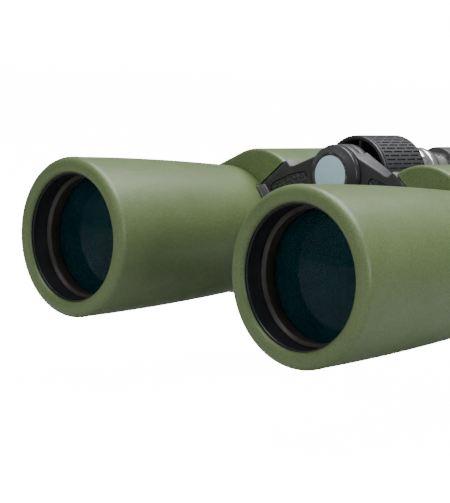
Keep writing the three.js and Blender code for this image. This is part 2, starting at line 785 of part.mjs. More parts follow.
function addFocusWheel() {
  const ringOut = wheelRadius - gripThickness - clearance;
  const ringIn = ringOut - wheelRing;
  const hub = ring(axleRadius + clearance, 8, wheelFrontY + 1, wheelRearY, [0, 0], 28);
  const web = ring(7, ringIn + 0.4, wheelRearY - 4, wheelRearY - 1.5, [0, 0], 28);
  let core = ring(ringIn, ringOut, wheelFrontY + 0.4, wheelRearY - 0.4, [0, 0], 28)
    .add(ring(ringIn, wheelRadius - 0.5, wheelFrontY, wheelFrontY + 1.4, [0, 0], 28))
    .add(web)
    .add(hub);
  for (let i = 0; i < spokeCount; i++) {
    const spoke = new THREE.BoxGeometry(ringIn - 7, wheelLength - 3, spokeWidth)
      .translate((ringIn + 7.4) / 2, wheelFrontY + wheelLength / 2 - 0.5, 0)
      .rotateY((2 * Math.PI * i) / spokeCount);
    core = core.add(toSolid(spoke));
  }
  addPiece("focus_wheel", core, materials.blackPlastic);
  addPiece(
    "focus_wheel_grip",
    turned(
      [
        [ringOut + clearance, wheelFrontY + 1.7],
        [wheelRadius - 0.3, wheelFrontY + 1.7],
        [wheelRadius, wheelFrontY + 2.2],
        [wheelRadius, wheelRearY - 0.9],
        [wheelRadius - 0.4, wheelRearY - 0.4],
        [ringOut + clearance, wheelRearY - 0.4],
      ],
      [0, 0],
      36,
    ),
    materials.blackRubber,
  );
}

function addSpindle() {
  const sleeveFrontY = collarFrontY + 1.4;
  const hubEndY = hubFrontY + 2 * hubLength + clearance;
  addPiece(
    "focus_spindle",
    turned(
      [
        [0, wheelFrontY],
        [spindleShaftRadius, wheelFrontY],
        [spindleShaftRadius, sleeveFrontY],
        [spindleRadius, sleeveFrontY],
        [spindleRadius, hubFrontY - clearance],
        [spindleShaftRadius + 0.6, hubFrontY - clearance],
        [spindleShaftRadius + 0.6, hubEndY],
        [0, hubEndY],
      ],
      [0, 0],
      28,
    ),
    materials.chrome,
  );
  addPiece(
    "bridge_cap",
    turned(
      [
        [0, hubEndY + clearance],
        [hubRadius - 0.8, hubEndY + clearance],
        [hubRadius - 0.8, hubEndY + 1.4],
        [hubRadius - 2.2, hubEndY + 2.6],
        [0, hubEndY + 3],
      ],
      [0, 0],
      28,
    ),
    materials.blackPlastic,
  );
}

// ---- Put it together ----
for (const [prefix, side] of [["left", 1], ["right", -1]]) {
  addArmour(`${prefix}_armour`, side);
  addCasing(`${prefix}_prism_housing`, `${prefix}_arm_panel`, side);
  addObjective(prefix, side);
  addPrisms(prefix, side);
  addRearCover(prefix, side);
  addStrapLug(prefix, side);
  addBridgeArm(prefix, side);
  addEyepiece(prefix, side);
  const ringName = side > 0 ? "left_trim_ring" : "diopter_ring";
  addPiece(
    ringName,
    ring(
      eyepieceRadius + clearance,
      ringRadius,
      ringFrontY,
      ringFrontY + ringLength,
      axisOn(side, eyepieceAxis),
      28,
    ),
    materials.blackRubber,
  );
}
addHinge();
addFocusWheel();
addSpindle();

binoculars.position.set(0, -(rimFrontY + eyecupRearY) / 2, objectiveDrop + rimRadius);

export default binoculars;
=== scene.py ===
# %% [markdown]
# # Binoculars, step by step
# The real object is two telescopes side by side. Each one is a rubber-covered barrel with a prism housing
# behind it, and a hinge between them carries the focus wheel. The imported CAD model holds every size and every
# joint, so this file only makes the looks: it reads where each CAD node is and builds a finer piece there.

# %% Load the frame
import json
import math

import bpy
from mathutils import Matrix, Vector

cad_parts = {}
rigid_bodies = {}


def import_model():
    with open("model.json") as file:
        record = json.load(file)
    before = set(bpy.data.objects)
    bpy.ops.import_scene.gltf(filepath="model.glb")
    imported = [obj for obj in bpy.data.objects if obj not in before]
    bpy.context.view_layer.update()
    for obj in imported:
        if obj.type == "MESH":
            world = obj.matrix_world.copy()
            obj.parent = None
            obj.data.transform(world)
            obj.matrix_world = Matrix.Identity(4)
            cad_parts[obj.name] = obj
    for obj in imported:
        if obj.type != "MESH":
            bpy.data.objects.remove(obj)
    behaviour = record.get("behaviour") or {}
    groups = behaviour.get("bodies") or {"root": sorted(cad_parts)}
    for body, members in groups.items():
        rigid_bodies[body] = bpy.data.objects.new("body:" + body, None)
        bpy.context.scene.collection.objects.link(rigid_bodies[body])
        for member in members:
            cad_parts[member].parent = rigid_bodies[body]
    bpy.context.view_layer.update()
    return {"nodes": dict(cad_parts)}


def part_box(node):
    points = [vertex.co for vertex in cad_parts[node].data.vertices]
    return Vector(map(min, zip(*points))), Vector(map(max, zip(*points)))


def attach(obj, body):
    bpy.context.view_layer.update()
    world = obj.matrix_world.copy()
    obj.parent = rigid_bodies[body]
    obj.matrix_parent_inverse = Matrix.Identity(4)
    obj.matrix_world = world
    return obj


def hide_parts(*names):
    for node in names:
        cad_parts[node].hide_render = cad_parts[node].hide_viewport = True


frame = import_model()
MM = 0.001
print("CAD nodes:", len(frame["nodes"]))

# %% [markdown]
# ## Places
# All places come from the CAD nodes' boxes, in millimetres here because that is how the parts are drawn.
# Three axes run front to back: the hinge, and on each side the objective and the eyepiece.

# %% Places
def low_high(node):
    low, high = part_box(node)
    return Vector(low) / MM, Vector(high) / MM


def axis_of(node):
    low, high = low_high(node)
    return ((low.x + high.x) / 2, (low.z + high.z) / 2)


HINGE = axis_of("hinge_cap")
OBJECTIVE = axis_of("left_crown_lens")
EYEPIECE = axis_of("left_eyecup")
RIM_Y = low_high("left_armour")[0].y
SHOULDER_Y = low_high("left_prism_housing")[0].y
HOUSING_BACK_Y = low_high("left_armour")[1].y
GAP = 0.3
print("hinge", HINGE, "objective", OBJECTIVE, "eyepiece", EYEPIECE)

# %% [markdown]
# ## Camera, light and floor
# The camera stands in front and to the user's left, close to level, with a slight roll. The light comes
# from a large soft box overhead, a weaker one in front and a small low one at the side. The surround and
# the floor look white to the camera but light the object only gently, so that the shaded sides of the
# barrels stay dark.

# %% Camera
AZIMUTH, ELEVATION, ROLL = (math.radians(a) for a in (44.53, 6.96, 2.84))
CAMERA_PLACE = Vector((425.9, -500.85, 107.9)) * MM
LENS_LENGTH, FILM_WIDTH = 110.4, 36
back = Vector((
    math.sin(AZIMUTH) * math.cos(ELEVATION), -math.cos(AZIMUTH) * math.cos(ELEVATION), math.sin(ELEVATION)))
level = Vector((math.cos(AZIMUTH), math.sin(AZIMUTH), 0))
upright = back.cross(level)
right = level * math.cos(ROLL) + upright * math.sin(ROLL)
up = upright * math.cos(ROLL) - level * math.sin(ROLL)

camera_data = bpy.data.cameras.new("camera")
camera_data.lens = LENS_LENGTH
camera_data.sensor_width = FILM_WIDTH
camera_data.clip_start = 0.05
camera = bpy.data.objects.new("camera", camera_data)
bpy.context.collection.objects.link(camera)
camera.matrix_world = Matrix((right, up, back)).transposed().to_4x4()
camera.location = CAMERA_PLACE
bpy.context.scene.camera = camera
print("camera at", tuple(round(c, 3) for c in camera.location))


# %% Lights and surround
def soft_box(name, place, target, width, height, watts):
    """A rectangular lamp, turned to face a target."""
    data = bpy.data.lights.new(name, "AREA")
    data.shape = "RECTANGLE"
    data.size, data.size_y = width, height
    data.energy = watts
    lamp = bpy.data.objects.new(name, data)
    bpy.context.collection.objects.link(lamp)
    lamp.location = place
    lamp.rotation_mode = "QUATERNION"
    lamp.rotation_quaternion = (Vector(place) - Vector(target)).to_track_quat("Z", "Y")
    return lamp


MIDDLE = (0, 0, 0.04)
soft_box("overhead", (0.1, 0.15, 1.1), MIDDLE, width=1.1, height=1.1, watts=37)
front_lamp = soft_box("front", (-0.1, -1.4, 0.4), MIDDLE, width=0.8, height=0.7, watts=10.5)
front_lamp.visible_glossy = False  # or the lenses would mirror it
soft_box("side", (1.4, -0.2, 0.4), MIDDLE, width=0.5, height=0.3, watts=7.5)

world = bpy.data.worlds.new("surround")
bpy.context.scene.world = world
world.use_nodes = True
background = world.node_tree.nodes["Background"]
background.inputs["Color"].default_value = (1, 1, 1, 1)


def brighter_when_seen(tree, lit, seen):
    """A strength that lights the object gently, but looks white where it is seen directly."""
    path = tree.nodes.new("ShaderNodeLightPath")
    strength = tree.nodes.new("ShaderNodeMath")
    strength.operation = "MULTIPLY_ADD"
    strength.inputs[1].default_value = seen - lit
    strength.inputs[2].default_value = lit
    tree.links.new(path.outputs["Is Camera Ray"], strength.inputs[0])
    return strength.outputs[0]


SURROUND_LIGHT, SURROUND_SEEN = 0.22, 16.0
surround_strength = brighter_when_seen(world.node_tree, SURROUND_LIGHT, SURROUND_SEEN)
world.node_tree.links.new(surround_strength, background.inputs["Strength"])

# %% Floor
FLOOR_DROP = 30 * MM  # room under the rims for the half that swings down as the pair folds
FLOOR_SIZE = 24
FLOOR_SEEN = 15.5
bpy.ops.mesh.primitive_plane_add(size=FLOOR_SIZE, location=(0, 0, -FLOOR_DROP))
floor = bpy.context.object
floor.name = floor.data.name = "floor"
paper = bpy.data.materials.new("white_paper")
paper.use_nodes = True
paper_shader = paper.node_tree.nodes["Principled BSDF"]
speck = paper.node_tree.nodes.new("ShaderNodeTexNoise")
speck.inputs["Scale"].default_value = 3
tones = paper.node_tree.nodes.new("ShaderNodeMix")
tones.data_type = "RGBA"
tones.inputs["A"].default_value = (0.33, 0.33, 0.33, 1)
tones.inputs["B"].default_value = (0.37, 0.37, 0.37, 1)
paper.node_tree.links.new(speck.outputs["Fac"], tones.inputs["Factor"])
paper.node_tree.links.new(tones.outputs["Result"], paper_shader.inputs["Base Color"])
paper_shader.inputs["Roughness"].default_value = 0.9
paper_shader.inputs["Specular IOR Level"].default_value = 0.1
paper_shader.inputs["Emission Color"].default_value = (1, 1, 1, 1)
glow = brighter_when_seen(paper.node_tree, 0.0, FLOOR_SEEN)
paper.node_tree.links.new(glow, paper_shader.inputs["Emission Strength"])
floor.data.materials.append(paper)
print("floor:", floor.name, FLOOR_SIZE, "m across,", FLOOR_DROP / MM, "mm down")

# %% [markdown]
# ## Helpers for modelling
# Most parts of an optical instrument are turned on a lathe, so the first helper draws half of a section,
# corner by corner, and spins it round its axis. The second makes a plate or block from an outline. The
# third wraps round discs, as a prism housing is wrapped round the light's path. Boolean modifiers join and
# cut.

# %% Selecting
def only_nothing():
    for thing in bpy.context.view_layer.objects:
        thing.select_set(False)


def only(*pieces):
    """Selects these objects and nothing else, and makes the first one active."""
    only_nothing()
    for piece in pieces:
        piece.select_set(True)
    bpy.context.view_layer.objects.active = pieces[0]


def pick(piece, kind, test):
    """Enters edit mode with only the corners, edges or faces that pass a test selected."""
    only(piece)
    kinds = ("vertices", "edges", "polygons")
    bpy.context.tool_settings.mesh_select_mode = [kind == each for each in kinds]
    mesh = piece.data
    for group in (mesh.vertices, mesh.edges, mesh.polygons):
        group.foreach_set("select", [False] * len(group))
    found = [item for item in getattr(mesh, kind) if test(item)]
    for item in found:
        item.select = True
    bpy.ops.object.mode_set(mode="EDIT")
    return len(found)


def done_editing():
    """Turns every face outwards and leaves edit mode."""
    bpy.ops.mesh.select_all(action="SELECT")
    bpy.ops.mesh.normals_make_consistent(inside=False)
    bpy.ops.object.mode_set(mode="OBJECT")


def ends_of(edge, mesh):
    """The two ends of an edge, in millimetres."""
    return [mesh.vertices[i].co / MM for i in edge.vertices]


print("ready to select faces and edges by their place")

# %% Turned, outlined and wrapped pieces
SAME_PLACE = 2e-6  # metres: closer corners than this are merged into one


def start_point(name):
    """A new object that is one loose corner at the origin, in edit mode, ready to extrude."""
    only_nothing()
    bpy.ops.mesh.primitive_plane_add(size=MM, location=(0, 0, 0))
    piece = bpy.context.object
    piece.name = piece.data.name = name
    bpy.ops.object.mode_set(mode="EDIT")
    bpy.context.tool_settings.mesh_select_mode = (True, False, False)
    bpy.ops.mesh.select_all(action="SELECT")
    bpy.ops.mesh.merge(type="CENTER")
    return piece


def draw(points):
    """Moves the selected corner to the first point, and extrudes it through the rest."""
    points = [Vector(p) * MM for p in points]
    bpy.ops.transform.translate(value=points[0])
    for a, b in zip(points, points[1:]):
        bpy.ops.mesh.extrude_region_move(TRANSFORM_OT_translate={"value": b - a})


def turned(name, profile, centre, steps=96):
    """A piece turned about an axis along Y. profile is (radius, y) points round half of its section."""
    piece = start_point(name)
    x, z = centre
    draw([(x + r, y, z) for r, y in profile])
    bpy.ops.mesh.select_all(action="SELECT")
    bpy.ops.mesh.spin(steps=steps, angle=2 * math.pi, center=(x * MM, 0, z * MM), axis=(0, 1, 0))
    bpy.ops.mesh.select_all(action="SELECT")
    bpy.ops.mesh.remove_doubles(threshold=SAME_PLACE / 2)
    done_editing()
    return piece


def plain_disc(name, radius, front, rear, centre, steps=96):
    """A disc with square corners, for cutting a hole or a recess."""
    return turned(name, [(0, front), (radius, front), (radius, rear), (0, rear)], centre, steps)


def ring(name, inner, outer, front, rear, centre, soft=0.3, steps=96):
    """A turned ring with softened corners."""
    bulge = 0.3 * soft
    profile = [
        (inner, front + soft), (inner + soft, front), (outer - soft, front), (outer - bulge, front + bulge),
        (outer, front + soft), (outer, rear - soft), (outer - bulge, rear - bulge), (outer - soft, rear),
        (inner + soft, rear), (inner, rear - soft), (inner, front + soft)]
    return turned(name, profile, centre, steps)


def outlined(name, outline, low, high, along="Y"):
    """A block from an outline: (x, z) points extruded along Y, or (x, y) points extruded along Z."""
    piece = start_point(name)
    place = (lambda a, b: (a, low, b)) if along == "Y" else (lambda a, b: (a, b, low))
    draw([place(a, b) for a, b in outline])
    bpy.ops.mesh.select_all(action="SELECT")
    bpy.ops.mesh.edge_face_add()
    depth = (high - low) * MM
    move = (0, depth, 0) if along == "Y" else (0, 0, depth)
    bpy.ops.mesh.extrude_region_move(TRANSFORM_OT_translate={"value": move})
    done_editing()
    return piece


def wrapped(name, discs, front, rear, sides=96):
    """The tightest convex block round some discs, each ((x, z), radius)."""
    only_nothing()
    for i, ((x, z), radius) in enumerate(discs):
        bpy.ops.mesh.primitive_cylinder_add(
            vertices=sides, radius=radius * MM, depth=(rear - front) * MM,
            location=(x * MM, (front + rear) / 2 * MM, z * MM), rotation=(math.pi / 2, 0, 0))
        if i == 0:
            piece = bpy.context.object
            piece.name = piece.data.name = name
            bpy.ops.object.transform_apply(location=True, rotation=True, scale=True)
            bpy.ops.object.mode_set(mode="EDIT")
    bpy.ops.mesh.select_all(action="SELECT")
    bpy.ops.mesh.convex_hull()
    bpy.ops.mesh.select_all(action="SELECT")
    bpy.ops.mesh.dissolve_limited(angle_limit=math.radians(0.4))
    done_editing()
    return piece


print("ready to turn, outline and wrap pieces")


# %% Joining, cutting, softening
def combine(piece, other, how):
    """Joins or cuts one piece with another, uses the other up, and cleans the seam."""
    step = piece.modifiers.new(how.lower(), "BOOLEAN")
    step.operation, step.object, step.solver = how, other, "EXACT"
    only(piece)
    bpy.ops.object.modifier_apply(modifier=step.name)
    bpy.data.objects.remove(other)
    pick(piece, "vertices", lambda v: True)
    bpy.ops.mesh.remove_doubles(threshold=SAME_PLACE)
    bpy.ops.mesh.select_all(action="SELECT")
    bpy.ops.mesh.dissolve_degenerate(threshold=SAME_PLACE)
    done_editing()
    return piece


def join(piece, *others):
    for other in others:
        combine(piece, other, "UNION")
    return piece


def cut(piece, *others):
    for other in others:
        combine(piece, other, "DIFFERENCE")
    return piece


def soften_edges(piece, width, test, segments=3):
    """Rounds off the edges whose two ends pass a test."""
    pick(piece, "edges", lambda e: test(*ends_of(e, piece.data)))
    bpy.ops.mesh.bevel(offset=width * MM, segments=segments, affect="EDGES", clamp_overlap=True)
    done_editing()


def soften_all(piece, width, segments=3, angle=35):
    """Rounds off every edge sharper than an angle, with a modifier."""
    step = piece.modifiers.new("soften", "BEVEL")
    step.width, step.segments = width * MM, segments
    step.limit_method, step.angle_limit = "ANGLE", math.radians(angle)
    step.use_clamp_overlap = True
    only(piece)
    bpy.ops.object.modifier_apply(modifier=step.name)


def other_side(piece, name):
    """A mirrored copy, for the user's right side."""
    copy = piece.copy()
    copy.data = piece.data.copy()
    copy.name = copy.data.name = name
    bpy.context.collection.objects.link(copy)
    copy.scale.x = -1
    only(copy)
    bpy.ops.object.transform_apply(location=False, rotation=False, scale=True)
    pick(copy, "vertices", lambda v: False)
    done_editing()
    return copy


def finish_piece(piece, material, body, node, smooth=30):
    """Shades the piece, gives it its material, ties it to its CAD body, and hides the CAD node it stands in
    for.
    """
    only(piece)
    bpy.ops.object.shade_smooth_by_angle(angle=math.radians(smooth))
    piece.data.materials.clear()
    piece.data.materials.append(material)
    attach(piece, body)
    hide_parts(node)
    print(f"{piece.name}: {len(piece.data.polygons)} faces on {body}")


def finish_pair(piece, material, bodies, node, smooth=30):
    """Finishes a left piece and makes its right twin. node is the CAD node's name without its side."""
    twin = other_side(piece, piece.name.replace("left", "right"))
    finish_piece(piece, material, bodies[0], f"left_{node}", smooth)
    finish_piece(twin, material, bodies[1], f"right_{node}", smooth)


HALVES = ("left_half", "right_half")
CARRIAGES = ("left_carriage", "right_carriage")
print("ready to join, cut, soften and finish pieces")

# %% [markdown]
# ## Helpers for materials
# Every finish starts from one Principled shader. Its patterns read the piece's own coordinates in
# millimetres, so a grain keeps its real size. Sharp edges rub paler with use, which the Pointiness of the
# surface gives.

# %% Material helpers
class Finish:
    """A material under construction: makes nodes and links them."""

    def __init__(self, name, metallic=0.0, specular=0.5, alpha=1.0):
        self.material = bpy.data.materials.new(name)
        self.material.use_nodes = True
        self.tree = self.material.node_tree
        self.shader = self.tree.nodes["Principled BSDF"]
        values = {"Metallic": metallic, "Specular IOR Level": specular, "Alpha": alpha}
        for socket, value in values.items():
            self.shader.inputs[socket].default_value = value
        in_mm = self.node("ShaderNodeVectorMath", operation="SCALE")
        in_mm.inputs["Scale"].default_value = 1 / MM
        self.link(self.node("ShaderNodeTexCoord").outputs["Object"], in_mm.inputs[0])
        self.millimetres = in_mm.outputs[0]

    def node(self, kind, **settings):
        """A new node with some of its settings made."""
        node = self.tree.nodes.new(kind)
        for key, value in settings.items():
            setattr(node, key, value)
        return node

    def link(self, output, target):
        self.tree.links.new(output, target)

    def noise(self, size, detail=3, stretch=(1, 1, 1)):
        """Soft noise whose features are size millimetres across."""
        place = self.node("ShaderNodeVectorMath", operation="MULTIPLY")
        place.inputs[1].default_value = stretch
        self.link(self.millimetres, place.inputs[0])
        noise = self.node("ShaderNodeTexNoise")
        noise.inputs["Scale"].default_value = 1 / size
        noise.inputs["Detail"].default_value = detail
        self.link(place.outputs[0], noise.inputs["Vector"])
        return noise.outputs["Fac"]

    def cells(self, size, feature="F1"):
        """A pattern of cells, size millimetres across, that is 0 in the middle of each."""
        cells = self.node("ShaderNodeTexVoronoi", feature=feature)
        cells.inputs["Scale"].default_value = 1 / size
        self.link(self.millimetres, cells.inputs["Vector"])
        return cells.outputs["Distance"]

    def between(self, value, low, high, from_low=0.3, from_high=0.7):
        """Stretches the span from_low to from_high of a pattern to run from low to high."""
        spread = self.node("ShaderNodeMapRange")
        self.link(value, spread.inputs["Value"])
        ends = {"From Min": from_low, "From Max": from_high, "To Min": low, "To Max": high}
        for socket, number in ends.items():
            spread.inputs[socket].default_value = number
        return spread.outputs["Result"]

    def mix(self, factor, a, b):
        """Mixes two colours, each a colour or a node's output, by a factor."""
        mix = self.node("ShaderNodeMix", data_type="RGBA")
        self.link(factor, mix.inputs["Factor"])
        for socket, colour in ((mix.inputs["A"], a), (mix.inputs["B"], b)):
            if isinstance(colour, tuple):
                socket.default_value = (*colour, 1)
            else:
                self.link(colour, socket)
        return mix.outputs["Result"]

    def add(self, a, b, weight):
        """The first pattern with a share of the second on top."""
        total = self.node("ShaderNodeMath", operation="MULTIPLY_ADD")
        self.link(b, total.inputs[0])
        total.inputs[1].default_value = weight
        self.link(a, total.inputs[2])
        return total.outputs[0]

    def colour(self, output):
        self.link(output, self.shader.inputs["Base Color"])

    def roughness(self, output):
        self.link(output, self.shader.inputs["Roughness"])

    def bump(self, height, depth):
        """Raises the surface by up to depth millimetres."""
        bump = self.node("ShaderNodeBump")
        bump.inputs["Distance"].default_value = depth * MM
        self.link(height, bump.inputs["Height"])
        self.link(bump.outputs["Normal"], self.shader.inputs["Normal"])

    def worn_edges(self, colour, worn):
        """Pales the sharpest edges, unevenly."""
        sharp = self.between(self.node("ShaderNodeNewGeometry").outputs["Pointiness"], 0, 1, 0.53, 0.62)
        patchy = self.between(self.noise(3.0), 0, 1, 0.35, 0.75)
        both = self.node("ShaderNodeMath", operation="MULTIPLY")
        self.link(sharp, both.inputs[0])
        self.link(patchy, both.inputs[1])
        return self.mix(both.outputs[0], colour, worn)


print("ready to build finishes")

# %% [markdown]
# ## Finishes
# The armour is olive rubber with a fine pebble grain and a soft sheen. The hinge parts are black moulded
# plastic with a spark-eroded grain, and the inside of each barrel is black anodised metal, turned with fine
# lines.

# %% Rubber and plastic
def rubber(name, deep, pale, worn, grain_size, grain_depth, roughness):
    """Moulded rubber: patches of two tones, a fine speckle, and a pebble grain."""
    finish = Finish(name, specular=0.42)
    patches = finish.between(finish.noise(22, 4), 0, 1)
    speckle = finish.between(finish.noise(0.5, 2), 0, 1, 0.35, 0.65)
    tone = finish.mix(patches, deep, pale)
    tone = finish.mix(finish.between(speckle, 0, 0.28), tone, worn)
    finish.colour(finish.worn_edges(tone, worn))
    finish.roughness(finish.between(finish.noise(9, 3), roughness - 0.05, roughness + 0.05))
    pebbles = finish.cells(grain_size)
    finish.bump(finish.add(pebbles, finish.noise(grain_size * 2.3), 0.6), grain_depth)
    return finish.material


ARMOUR_RUBBER = rubber(
    "olive_armour_rubber", deep=(0.064, 0.096, 0.034), pale=(0.074, 0.11, 0.04), worn=(0.15, 0.19, 0.09),
    grain_size=0.55, grain_depth=0.04, roughness=0.42)
GRIP_RUBBER = rubber(
    "black_grip_rubber", deep=(0.012, 0.012, 0.015), pale=(0.017, 0.017, 0.021), worn=(0.05, 0.05, 0.057),
    grain_size=0.45, grain_depth=0.03, roughness=0.6)
CUP_RUBBER = rubber(
    "soft_cup_rubber", deep=(0.012, 0.012, 0.013), pale=(0.018, 0.018, 0.019), worn=(0.05, 0.05, 0.052),
    grain_size=0.6, grain_depth=0.02, roughness=0.68)


def moulded(name, deep, pale, worn, roughness, grain=0.35, depth=0.03):
    """Moulded plastic: two tones, edges rubbed pale, and the fine grain of a sparked mould."""
    finish = Finish(name)
    tone = finish.mix(finish.between(finish.noise(14, 4), 0, 1), deep, pale)
    finish.colour(finish.worn_edges(tone, worn))
    finish.roughness(finish.between(finish.noise(5, 4), roughness - 0.06, roughness + 0.07))
    finish.bump(finish.noise(grain, 3), depth)
    return finish.material


BLACK_PLASTIC = moulded(
    "black_moulded_plastic", deep=(0.02, 0.0192, 0.0225), pale=(0.029, 0.028, 0.032),
    worn=(0.14, 0.14, 0.145), roughness=0.42)
SATIN_BLACK = moulded(
    "satin_black_cap", deep=(0.018, 0.018, 0.02), pale=(0.025, 0.025, 0.027), worn=(0.2, 0.2, 0.2),
    roughness=0.3, grain=0.5, depth=0.012)
BLUE_INLAY = moulded(
    "pale_blue_inlay", deep=(0.3, 0.43, 0.48), pale=(0.33, 0.46, 0.51), worn=(0.5, 0.6, 0.63),
    roughness=0.45, grain=0.4, depth=0.01)


def leather_grain_with_painted_light(name):
    """Black plastic with the close pebbles of leather: their tops are painted paler as a highlight, and the
    valleys between them darker as shade.
    """
    finish = Finish(name)
    cells = finish.cells(0.8, "SMOOTH_F1")
    # painted highlight on the raised pebble tops and painted shade in the valleys between them: the pale and
    # dark tones follow the grain's height
    tone = finish.mix(finish.between(cells, 0, 1, 0.12, 0.5), (0.062, 0.062, 0.072), (0.012, 0.012, 0.014))
    finish.colour(tone)
    finish.roughness(finish.between(finish.noise(2.5), 0.38, 0.55))
    finish.bump(finish.add(cells, finish.noise(0.4), 0.25), -0.4)
    return finish.material


PANEL_GRAIN_AND_PAINTED_LIGHT = leather_grain_with_painted_light("grained_panel")
print("rubber and plastic:", [m.name for m in (ARMOUR_RUBBER, GRIP_RUBBER, BLACK_PLASTIC, PANEL_GRAIN_AND_PAINTED_LIGHT)])

# %% [markdown]
# ## Metal and glass
# Turned metal shows rings round its axis, so its noise is stretched along the direction of the turning. The
# lenses are dark and reflect teal from their coating: they stay partly clear, so the ribs behind them show.

# %% Metal and glass
def turned_metal(name, deep, pale, roughness, line=0.12, depth=0.01, metallic=1.0, specular=0.5):
    """Metal with fine tool lines round its axis. line is their width in millimetres."""
    finish = Finish(name, metallic=metallic, specular=specular)
    lines = finish.noise(line, 2, (0.02, 1, 0.02))
    patches = finish.noise(6, 4)
    finish.colour(finish.mix(finish.between(finish.add(patches, lines, 0.6), 0, 1, 0.5, 1.0), deep, pale))
    finish.roughness(finish.between(lines, roughness * 0.75, roughness * 1.35))
    finish.bump(lines, depth)
    return finish.material


CHROME = turned_metal(
    "polished_chrome", deep=(0.8, 0.8, 0.81), pale=(0.95, 0.95, 0.96), roughness=0.2, line=0.4, depth=0.004)
STEEL = turned_metal("turned_steel", deep=(0.38, 0.38, 0.4), pale=(0.55, 0.55, 0.56), roughness=0.3)
DARK_TUBE = turned_metal(
    "black_anodised_tube", deep=(0.006, 0.006, 0.008), pale=(0.012, 0.012, 0.015), roughness=0.42,
    line=0.3, depth=0.02, metallic=0.0, specular=0.4)
GREY_RETAINER = turned_metal(
    "grey_anodised_ring", deep=(0.03, 0.026, 0.023), pale=(0.045, 0.04, 0.036), roughness=0.4,
    line=0.2, metallic=0.2)


def coated_glass(name, deep, pale, alpha):
    """Glass with a coating of uneven tint. The lower alpha is, the clearer the glass."""
    finish = Finish(name, specular=0.16, alpha=alpha)
    tint = finish.between(finish.noise(16, 2), 0, 1, 0.35, 0.65)
    finish.colour(finish.mix(tint, deep, pale))
    finish.roughness(finish.between(finish.noise(7, 3), 0.02, 0.044))
    return finish.material


FRONT_GLASS = coated_glass("teal_coated_glass", (0.002, 0.018, 0.023), (0.004, 0.028, 0.034), alpha=0.55)
INNER_GLASS = coated_glass("second_lens_glass", (0.002, 0.014, 0.017), (0.004, 0.022, 0.026), alpha=0.3)
EYE_GLASS = coated_glass("violet_coated_glass", (0.006, 0.005, 0.016), (0.01, 0.012, 0.03), alpha=0.75)
CLEAR_GLASS = coated_glass("clear_optical_glass", (0.03, 0.045, 0.045), (0.05, 0.07, 0.07), alpha=0.92)
print("metal and glass:", [m.name for m in (CHROME, STEEL, DARK_TUBE, FRONT_GLASS)])

# %% [markdown]
# ## The armour
# Each half wears one moulded rubber skin. It is a barrel that widens slightly to a rounded front rim, grown
# together with a wide housing that wraps round three circles: one at the objective, one at the eyepiece,
# and one high up that makes the domed shoulder. Turning the barrel and wrapping the housing gives both
# shapes exactly.

# %% Shapes of the armour
RIM_RADIUS = 33.4
RIM_LENGTH = 5
RIM_RIDGE = 0.14  # how far the rim stands out from the barrel behind it
TAPER, CURVE = 0.017, 0.0004  # how fast the barrel narrows behind its rim, and how that grows
BORE_RADIUS = 26.7
SKIN = 2.4


def barrel_radius(y, inset=0.0):
    behind = max(0.0, y - RIM_Y - RIM_LENGTH)
    return RIM_RADIUS - RIM_RIDGE - TAPER * behind - CURVE * behind * behind - inset


def arc(centre, radius, start, end, count):
    """Points of a rounded corner: angles in degrees, 0 outwards and 90 towards the rear."""
    angles = [math.radians(start + (end - start) * i / count) for i in range(count + 1)]
    return [(centre[0] + radius * math.cos(a), centre[1] + radius * math.sin(a)) for a in angles]


DOME = (OBJECTIVE[0] - 16.8, OBJECTIVE[1] + 10)
HOUSING_DISCS = [(DOME, 27.6), (OBJECTIVE, 29.5), (EYEPIECE, 19.5)]


def housing(name, inset, front, rear, sides=96):
    """A block wrapped round the housing's three circles, each smaller by the inset."""
    return wrapped(name, [(centre, radius - inset) for centre, radius in HOUSING_DISCS], front, rear, sides)


def at_y(y, tolerance=0.02):
    """A test for edges that lie at one place from front to back."""
    return lambda a, b: abs(a.y - y) < tolerance and abs(b.y - y) < tolerance


barrel_stops = [RIM_Y + RIM_LENGTH + 8 * i for i in range(12)]
barrel_profile = [
    (0, RIM_Y + 4),
    *arc((BORE_RADIUS + 2.5, RIM_Y + 2.5), 2.5, 180, 270, 6),
    *arc((RIM_RADIUS - 2.9, RIM_Y + 3.1), 2.9, 282, 352, 7),
    (RIM_RADIUS, RIM_Y + 3.6), (RIM_RADIUS - 0.16, RIM_Y + 3.75),
    *[(barrel_radius(y), y) for y in barrel_stops if y < SHOULDER_Y],
    (barrel_radius(SHOULDER_Y + 2), SHOULDER_Y + 2),
    (0, SHOULDER_Y + 2),
]
armour = turned("left_armour_skin", barrel_profile, OBJECTIVE, 128)
shell = housing("housing_skin", 0, SHOULDER_Y, HOUSING_BACK_Y)
soften_edges(shell, 1.6, at_y(SHOULDER_Y), 5)
soften_edges(shell, 1.0, at_y(HOUSING_BACK_Y), 3)
join(armour, shell)
print("armour:", len(armour.data.polygons), "faces before cutting")

# %% [markdown]
# The black arm that carries each half reaches in from the hinge and lies flush in a notch of the armour, so
# one outline is used twice: as it is for the arm, and a little larger for the notch.

# %% The arm's outline and the hollows of the armour
ARM_BACK_Y = SHOULDER_Y + 8
arm_points = [
    (0, 11.6), (4.2, 11.3), (8, 10), (11.6, 7.8), (26, 1.9), (27.4, 1.9), (29.5, 3.9), (31, 3.4),
    (42.9, -6.6), (49.3, -14), (41.3, -44), (26, -36), (13, -17.5), (2.5, -10.6),
]


def placed(points, grow=0.0, middle=(24, -14)):
    """Points round the hinge moved to their place, and pushed out from the middle."""
    moved = []
    for x, z in points:
        away = Vector((x - middle[0], z - middle[1]))
        away = away.normalized() * (away.length + grow)
        moved.append((HINGE[0] + middle[0] + away.x, HINGE[1] + middle[1] + away.y))
    return moved


